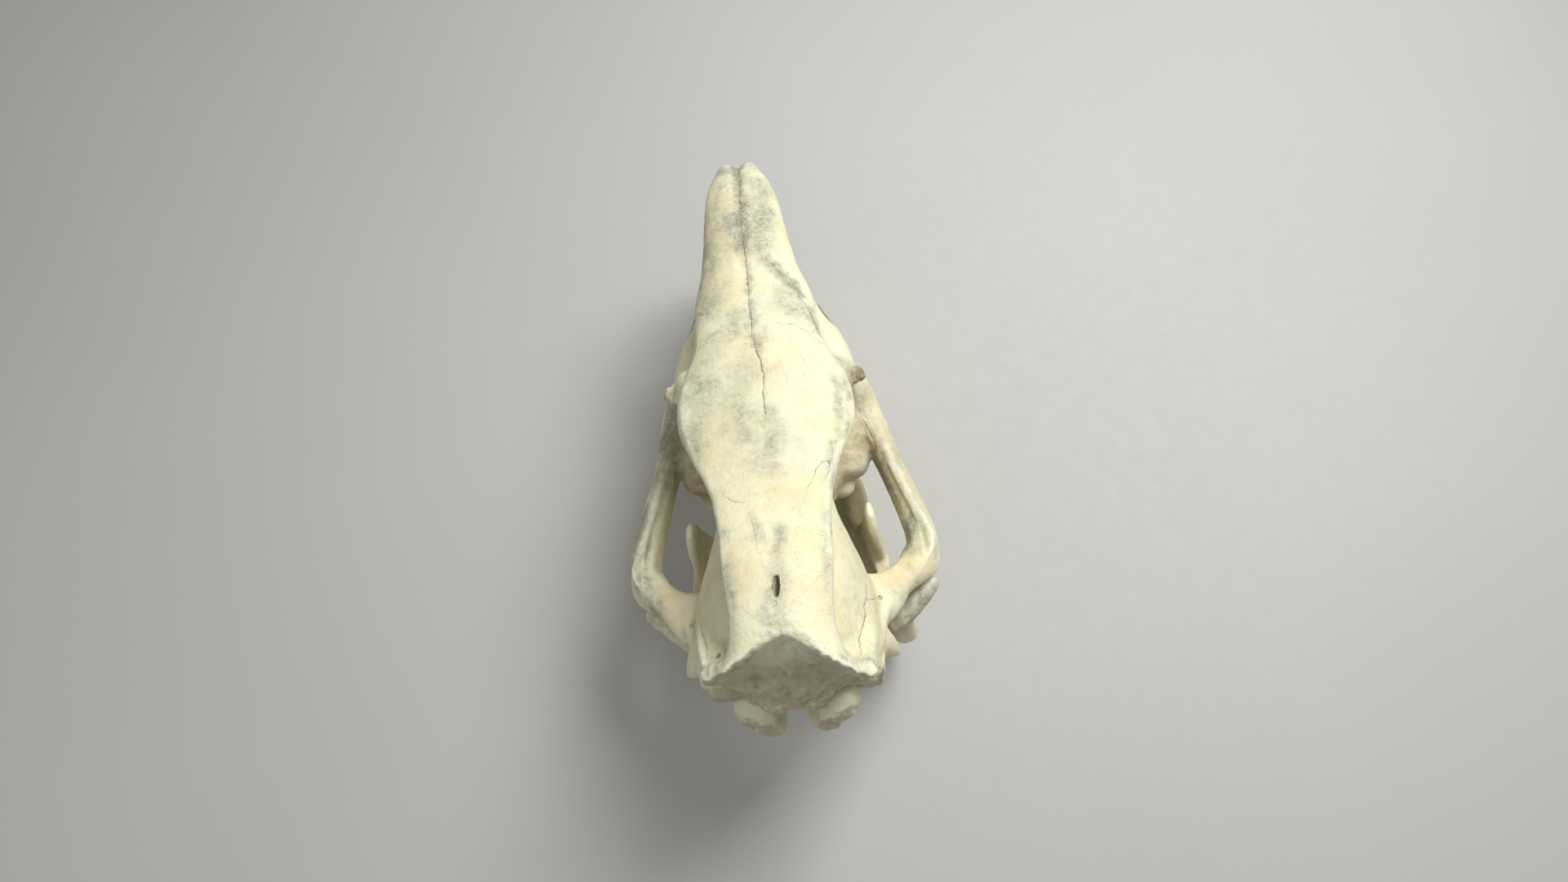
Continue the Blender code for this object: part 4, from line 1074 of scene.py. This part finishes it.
# The teeth
teeth = {
    "upper": {
        "lengths": (24, 30, 35, 40, 43), "front": 352, "frontX": 49, "spread": 14, "spreadLength": 120,
        "width": 40, "root": 150, "bite": 117.0,
    },
    "lower": {
        "lengths": (22, 28, 33, 38, 41), "front": 352, "frontX": 43, "spread": 20, "spreadLength": 160,
        "width": 26, "root": 80, "bite": 115.0,
    },
    "firstWidth": 0.82, "growth": 0.05,   # the first tooth's share of the width, and what each next one adds
    "packing": 0.97,                      # a crown's share of its place in the row
    "sharpAngle": 55,
    "squareness": 3.6, "ribDepth": 0.05, "ribs": 8, "waist": 0.03,
    # dents of the crown's outline: where along it, reach, depth
    "innerDent": (0.1, 0.26, 0.26), "outerDent": (-0.05, 0.2, 0.2),
    # the wall of a crown from its root to its bite: share of the way, width
    "wall": ((0.0, 0.86), (0.12, 0.93), (0.3, 1.0), (0.6, 1.01), (0.85, 0.97), (0.96, 0.93), (1.0, 0.88)),
    # the worn hollow inside the enamel rim: width, depth, and the folds on its floor
    "hollow": ((0.8, 0.4), (0.7, 1.6), (0.45, 3.2), (0.2, 3.6)), "foldHeight": 1.6, "folds": 7,
    "upperIncisor": [(12, 450, 150, 9, 15, 0), (13, 450, 138, 9.5, 17, 0), (14, 451, 127, 8, 15, 0)],
    "lowerIncisor": [
        (14, 434, 88, 9, 9, 0), (17, 452, 97, 9, 8, 0), (19.5, 468, 107, 7.5, 6, 0),
        (20.5, 478, 114, 4, 3, 0),
    ],
}


def crownOutline(upper, count=96):
    # one crown seen from the bite: a ribbed outer wall, and an inner side with two lobes
    turn = np.linspace(0, 2 * math.pi, count, endpoint=False)
    a, b = oval(teeth["squareness"], count)
    outer, inner = ramp(a, -0.2, 0.6), ramp(-a, -0.2, 0.6)
    at, reach, depth = teeth["innerDent"]
    ribs = teeth["ribDepth"] - teeth["ribDepth"] * np.cos(b * teeth["ribs"])
    a = a - outer * ribs + inner * depth * np.exp(-((b - at) / reach) ** 2)
    if not upper:
        at, reach, depth = teeth["outerDent"]
        a = a - outer * depth * np.exp(-((b - at) / reach) ** 2)
    return a, b * (1 - teeth["waist"] * np.cos(2 * turn))


def cheekTooth(x, y, length, wide, root, bite, upper):
    a, b = crownOutline(upper)
    down = 1 if upper else -1
    rings, rim = [], teeth["hollow"][0][0]
    for share, swell in teeth["wall"]:
        z = np.full(len(a), root + (bite - root) * share)
        rings.append(np.stack([x + a * wide / 2 * swell, y + b * length / 2 * swell, z], 1))
    for swell, sink in teeth["hollow"]:
        folds = down * teeth["foldHeight"] * np.cos(b * teeth["folds"]) * (rim - swell)
        z = np.full(len(a), bite + down * sink) + folds
        rings.append(np.stack([x + a * wide / 2 * swell, y + b * length / 2 * swell, z], 1))
    return loft(rings)


def toothRow(row, upper):
    crowns, y = [], row["front"]
    for number, length in enumerate(row["lengths"]):
        middle = y - length / 2
        x = row["frontX"] + row["spread"] * min(1.0, (row["front"] - middle) / row["spreadLength"])
        wide = row["width"] * (teeth["firstWidth"] + teeth["growth"] * number)
        crowns.append(cheekTooth(x, middle, length * teeth["packing"], wide, row["root"], row["bite"], upper))
        y -= length
    return crowns


# The finishes
boneLook = {
    "light": (0.86, 0.845, 0.61),
    "warm": (0.81, 0.74, 0.46),
    # stain, also the colour of the lines of painted shade
    "stainAndShade": (0.345, 0.345, 0.262),
    "paleStain": (0.60, 0.62, 0.51),
    "tan": (0.72, 0.54, 0.30),
    "seam": (0.19, 0.16, 0.11),
    # painted shade inside the foramina
    "pitShade": (0.06, 0.05, 0.04),
    "pore": (0.24, 0.22, 0.18),
    # painted shade in creases
    "creviceShade": (0.32, 0.27, 0.18),
    "worn": (0.92, 0.91, 0.78),
    # painted shade and grime
    "grimeAndShade": (0.31, 0.247, 0.158),
    "roughness": (0.40, 0.66), "gloss": 0.4, "warmthSpread": 0.05,
    # how strongly each colour covers what is under it
    "tanShare": 0.7, "driftShare": 0.7, "poreShare": 0.45, "creviceShadeShare": 0.5, "wornShare": 0.5,
    "pitShadeShare": 0.93, "crackShare": 0.8, "seamShare": 0.8,
    # sizes of the patterns, in metres
    "cloudSize": 0.05, "blotchSize": 0.014, "smudgeSize": 0.03, "speckSize": 0.0020, "fleckSize": 0.0042,
    "poreDriftSize": 0.011, "crackFraySize": 0.006, "fibreSize": 0.0012, "poresPerMetre": 620.0,
    # strength and depth of the bumps
    "bump": (0.75, 0.0008), "fibreBump": (0.25, 0.0003),
}


class Nodes:
    # builds the node tree of one material
    def __init__(self, name):
        self.material = bpy.data.materials.new(name)
        self.material.use_nodes = True
        self.tree = self.material.node_tree
        self.shader = self.tree.nodes["Principled BSDF"]

    def add(self, kind, inputs=(), **settings):
        node = self.tree.nodes.new("ShaderNode" + kind)
        for key, value in settings.items():
            setattr(node, key, value)
        for key, value in dict(inputs).items():
            self.put(node, key, value)
        return node

    def put(self, node, key, value):
        socket = node.inputs[key]
        if isinstance(value, bpy.types.NodeSocket):
            self.tree.links.new(value, socket)
        else:
            socket.default_value = value

    def coordinates(self):
        return self.add("TexCoord").outputs["Object"]

    def noise(self, size, detail=4, roughness=0.55, where=None):
        inputs = {"Vector": where or self.coordinates(), "Scale": 1 / size}
        inputs.update({"Detail": detail, "Roughness": roughness})
        return self.add("TexNoise", inputs).outputs["Fac"]

    def math(self, operation, a, b=0.0, clamp=False):
        node = self.add("Math", operation=operation, use_clamp=clamp)
        self.put(node, 0, a)
        self.put(node, 1, b)
        return node.outputs[0]

    def span(self, value, low, high, toLow=0.0, toHigh=1.0):
        inputs = {"Value": value, "From Min": low, "From Max": high, "To Min": toLow, "To Max": toHigh}
        return self.add("MapRange", inputs, clamp=True).outputs[0]

    def mix(self, share, a, b):
        node = self.add("Mix", data_type="RGBA")
        for key, value in ((0, share), (6, a), (7, b)):
            if isinstance(value, tuple):
                value = (*value, 1.0)
            self.put(node, key, value)
        return node.outputs[2]

    def attribute(self, name):
        return self.add("Attribute", attribute_name=name).outputs["Fac"]

    def bump(self, height, strength, distance, normal=None):
        inputs = {"Height": height, "Strength": strength, "Distance": distance}
        if normal:
            inputs["Normal"] = normal
        return self.add("Bump", inputs).outputs["Normal"]


def boneMaterial(name, warmth=0.0):
    n = Nodes(name)
    look = boneLook
    clouds = n.noise(look["cloudSize"], 6, 0.62)
    blotch = n.noise(look["blotchSize"], 5, 0.62)
    elsewhere = n.add("Mapping", {"Vector": n.coordinates(), "Location": (3.1, 1.7, 0.4)}).outputs[0]
    smudge = n.noise(look["smudgeSize"], 6, 0.7, elsewhere)
    speck = n.noise(look["speckSize"], 4, 0.65)
    colour = n.mix(n.span(clouds, 0.42 - warmth, 0.68 - warmth), look["light"], look["warm"])
    tan = n.math("MULTIPLY", n.attribute("tan"), n.span(blotch, 0.35, 0.6, 0.5, 1.1), True)
    colour = n.mix(n.math("MULTIPLY", tan, look["tanShare"]), colour, look["tan"])
    # blue-grey stain: painted bands, some of them painted shade, and light drifts of stain everywhere
    flecks = n.noise(look["fleckSize"], 5, 0.7)
    drift = n.math("MULTIPLY", n.span(smudge, 0.5, 0.7), n.span(flecks, 0.38, 0.62, 0.3, 1.0))
    colour = n.mix(n.math("MULTIPLY", drift, look["driftShare"]), colour, look["paleStain"])
    band = n.math("MULTIPLY", n.attribute("stainAndShade"), n.span(smudge, 0.36, 0.58, 0.6, 1.1))
    mottled = n.math("MULTIPLY", band, n.span(flecks, 0.36, 0.62, 0.7, 1.25))
    stainAndShade = n.math("MULTIPLY", mottled, n.span(speck, 0.3, 0.62, 0.7, 1.1), True)
    colour = n.mix(stainAndShade, colour, look["stainAndShade"])
    # fine dark pores in drifts
    cellInputs = {"Vector": n.coordinates(), "Scale": look["poresPerMetre"]}
    cells = n.add("TexVoronoi", cellInputs).outputs["Distance"]
    poreDrift = n.span(n.noise(look["poreDriftSize"], 5, 0.7), 0.52, 0.68)
    many = n.math("MAXIMUM", poreDrift, n.math("MULTIPLY", stainAndShade, 0.8))
    pore = n.math("MULTIPLY", n.span(cells, 0.34, 0.12), many, True)
    colour = n.mix(n.math("MULTIPLY", pore, look["poreShare"]), colour, look["pore"])
    # painted shade where it is hollow, paler where it is worn
    hollow = n.span(n.attribute("hollow"), 0.03, 0.6)
    colour = n.mix(n.math("MULTIPLY", hollow, look["creviceShadeShare"]), colour, look["creviceShade"])
    raised = n.span(n.attribute("hollow"), -0.05, -0.5)
    colour = n.mix(n.math("MULTIPLY", raised, look["wornShare"]), colour, look["worn"])
    # painted shade and grime: the back of the head, under the orbits, in the hollows of the knobs
    grimeAndShade = n.math("MULTIPLY", n.attribute("grimeAndShade"), n.span(blotch, 0.2, 0.7, 0.55, 1.2), True)
    colour = n.mix(grimeAndShade, colour, look["grimeAndShade"])
    # painted shade inside the foramina and slots
    colour = n.mix(n.math("MULTIPLY", n.attribute("pitShade"), look["pitShadeShare"], True), colour, look["pitShade"])
    # dark lines of the cracks and the open seams
    across = n.math("ABSOLUTE", n.attribute("crack"))
    thin = n.math("ADD", across, n.span(n.noise(look["crackFraySize"], 3, 0.6), 0.3, 0.7, -0.25, 0.45))
    line = n.span(thin, 0.75, 0.3)
    crackLine = n.math("MULTIPLY", line, look["crackShare"])
    gap = n.math("MAXIMUM", crackLine, n.span(n.attribute("seam"), 0.4, 1.0))
    colour = n.mix(n.math("MULTIPLY", gap, look["seamShare"]), colour, look["seam"])
    n.put(n.shader, "Base Color", colour)
    n.put(n.shader, "Roughness", n.span(blotch, 0.3, 0.75, *look["roughness"]))
    n.put(n.shader, "Specular IOR Level", look["gloss"])
    height = n.math("SUBTRACT", n.math("MULTIPLY", speck, 0.6), n.math("MULTIPLY", pore, 1.0))
    height = n.math("SUBTRACT", height, n.math("MULTIPLY", line, 1.5))
    height = n.math("ADD", height, n.math("MULTIPLY", flecks, 1.2))
    fibre = n.noise(look["fibreSize"], 2, 0.5)
    normal = n.bump(height, *look["bump"])
    n.put(n.shader, "Normal", n.bump(fibre, *look["fibreBump"], normal))
    return n.material


enamelLook = {
    "pale": (0.78, 0.73, 0.60), "dull": (0.56, 0.46, 0.31), "streak": (0.25, 0.18, 0.11),
    "streakShare": 0.5, "roughness": (0.22, 0.42), "streakSize": 0.0016, "cloudSize": 0.012,
    "bump": (0.35, 0.0005),
}


def enamelMaterial():
    n = Nodes("tooth_enamel")
    look = enamelLook
    upright = n.add("Mapping", {"Vector": n.coordinates(), "Scale": (1, 1, 0.25)}).outputs[0]
    lines = n.noise(look["streakSize"], 4, 0.6, upright)
    cloud = n.noise(look["cloudSize"], 4, 0.6)
    colour = n.mix(n.span(cloud, 0.35, 0.7), look["pale"], look["dull"])
    streaks = n.math("MULTIPLY", n.span(lines, 0.52, 0.72), look["streakShare"])
    n.put(n.shader, "Base Color", n.mix(streaks, colour, look["streak"]))
    n.put(n.shader, "Roughness", n.span(cloud, 0.3, 0.7, *look["roughness"]))
    n.put(n.shader, "Normal", n.bump(lines, *look["bump"]))
    return n.material


floorLook = {
    "dark": (0.50, 0.50, 0.495), "pale": (0.54, 0.54, 0.535), "roughness": (0.6, 0.75),
    "cloudSize": 0.4, "dullSize": 0.02, "grainSize": 0.004, "bump": (0.1, 0.0005),
}


def floorMaterial():
    n = Nodes("pale_floor")
    look = floorLook
    cloud = n.noise(look["cloudSize"], 3, 0.5)
    n.put(n.shader, "Base Color", n.mix(cloud, look["dark"], look["pale"]))
    n.put(n.shader, "Roughness", n.span(n.noise(look["dullSize"]), 0.3, 0.7, *look["roughness"]))
    n.put(n.shader, "Normal", n.bump(n.noise(look["grainSize"]), *look["bump"]))
    return n.material


def addPiece(name, mesh, material, sharpAngle):
    mesh.materials.clear()
    mesh.materials.append(material)
    mesh.shade_smooth()
    mesh.set_sharp_from_angle(angle=math.radians(sharpAngle))
    setPoints(mesh, pointsOf(mesh) - (*place["middle"], 0))
    piece = addObject(name, mesh)
    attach(piece, "root")
    return piece


# Making the bones
noise.seed_set(surface["wobbleSeed"])
boneNames = {
    "nasal_right": "nasalRight", "nasal_left": "nasalLeft", "frontal": "frontalBone",
    "parietal": "parietalBone", "occipital": "occipitalBone", "temporal_right": "temporalRight",
    "temporal_left": "temporalLeft", "zygomatic_right": "zygomaticRight", "zygomatic_left": "zygomaticLeft",
    "maxilla_right": "maxillaRight", "maxilla_left": "maxillaLeft", "premaxilla_right": "premaxillaRight",
    "premaxilla_left": "premaxillaLeft", "skull_base": "skullBase", "mandible_chin": "jawChin",
    "mandible_ramus_right": "jawRamusRight", "mandible_ramus_left": "jawRamusLeft",
    "mandible_body_right": "jawBodyRight", "mandible_body_left": "jawBodyLeft",
}

holes = meshOf([egg(at, radii, turn, 12, 16) for at, radii, turn, _ in foramina], "holes")
wholeCranium = withBoolean(craniumMesh(), holes, "DIFFERENCE")
craniumCrack = craniumDetail(wholeCranium)
bones, marks = parted(wholeCranium.copy(), cuts)
dressed(bones, wholeCranium, marks, craniumCrack)

wholeJaw = jawMesh()
jawDetail(wholeJaw)
jawBones, jawMarks = parted(wholeJaw.copy(), jawCuts)
dressed(jawBones, wholeJaw, jawMarks, np.full(len(wholeJaw.vertices), farFromCrack), True)
bones.update(jawBones)

for number, (node, mesh) in enumerate(bones.items()):
    name = boneNames[node]
    warmth = boneLook["warmthSpread"] * math.sin(number * 2.3)   # each bone a little warmer or cooler
    piece = addPiece(name, mesh, boneMaterial(name + "Bone", warmth), grain["sharpAngle"])
    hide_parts(node)
report("bones in place")

# Making the teeth
enamel = enamelMaterial()
upperRow, lowerRow = toothRow(teeth["upper"], True), toothRow(teeth["lower"], False)
upperIncisor, lowerIncisor = sweep(teeth["upperIncisor"], upright=True), sweep(teeth["lowerIncisor"])
for side, flip in (("Right", False), ("Left", True)):
    for name, shapes, inJaw in (
        ("upperCheekTeeth", upperRow, False), ("lowerCheekTeeth", lowerRow, True),
        ("upperIncisor", [upperIncisor], False), ("lowerIncisor", [lowerIncisor], True),
    ):
        placed = []
        for points, faces in [mirrored(s) if flip else s for s in shapes]:
            lean = np.outer(leanAt(points[:, 1]), (1, 0, 0))
            placed.append((jawPlaced(points) if inJaw else points + lean, faces))
        piece = addPiece(name + side, meshOf(placed, name + side), enamel, teeth["sharpAngle"])
report("teeth in place")

# Floor, light and camera
studio = {
    "floorSize": 6.0, "floorTiles": 12,
    "sky": (1.0, 0.96, 0.88), "skyStrength": 0.22,
    # each lamp: power, place, size, colour
    "key": (32, (0.78, 0.6, 1.68), 0.8, (1.0, 1.0, 0.97)),
    "fill": (3, (-1.2, -0.6, 1.2), 1.2, (0.92, 0.96, 1.0)),
    "rim": (4, (0.1, -0.5, 2.0), 0.8, (1.0, 1.0, 1.0)),
    "lampAim": (0, 0, 0.2),
}
view = {
    "elevation": 71.7, "azimuth": 3.9, "roll": -10.2, "distance": 1.208, "angle": 45,
    "target": (0.010, 0.244, 0.038),   # metres, in the rows' frame
}


def addFloor():
    half, count = studio["floorSize"] / 2, studio["floorTiles"]
    steps = np.linspace(-half, half, count + 1)
    points = [(x, y, 0.0) for x in steps for y in steps]
    row = count + 1
    faces = [
        (i * row + k, (i + 1) * row + k, (i + 1) * row + k + 1, i * row + k + 1)
        for i in range(count) for k in range(count)
    ]
    mesh = bpy.data.meshes.new("floor")
    mesh.from_pydata(points, [], faces)
    mesh.materials.append(floorMaterial())
    addObject("floor", mesh)


def addArea(name, power, at, size, colour):
    lamp = bpy.data.lights.new(name, "AREA")
    lamp.energy, lamp.size, lamp.color = power, size, colour
    obj = addObject(name, lamp)
    obj.location = at
    aim = Vector(studio["lampAim"]) - Vector(at)
    obj.rotation_euler = aim.to_track_quat("-Z", "Y").to_euler()


def addCamera():
    elevation, azimuth, roll = (math.radians(view[k]) for k in ("elevation", "azimuth", "roll"))
    flat = math.cos(elevation)
    back = Vector((math.sin(azimuth) * flat, -math.cos(azimuth) * flat, math.sin(elevation)))
    level = Vector((math.cos(azimuth), math.sin(azimuth), 0))
    up = back.cross(level)
    right = level * math.cos(roll) + up * math.sin(roll)
    top = up * math.cos(roll) - level * math.sin(roll)
    target = Vector(view["target"]) - Vector((*place["middle"], 0)) * mm
    eye = target + back * view["distance"]
    lens = bpy.data.cameras.new("camera")
    lens.sensor_fit, lens.angle_y = "VERTICAL", math.radians(view["angle"])
    camera = addObject("camera", lens)
    axes = Matrix((right, top, back)).transposed()
    camera.matrix_world = Matrix.Translation(eye) @ axes.to_4x4()
    bpy.context.scene.camera = camera


def makeStudio():
    addFloor()
    for name in ("key", "fill", "rim"):
        addArea(name, *studio[name])
    world = bpy.data.worlds.new("studio")
    world.use_nodes = True
    sky = world.node_tree.nodes["Background"]
    sky.inputs["Color"].default_value = (*studio["sky"], 1)
    sky.inputs["Strength"].default_value = studio["skyStrength"]
    bpy.context.scene.world = world
    bpy.context.scene.view_settings.view_transform = "Standard"
    addCamera()


makeStudio()

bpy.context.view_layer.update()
report("done")
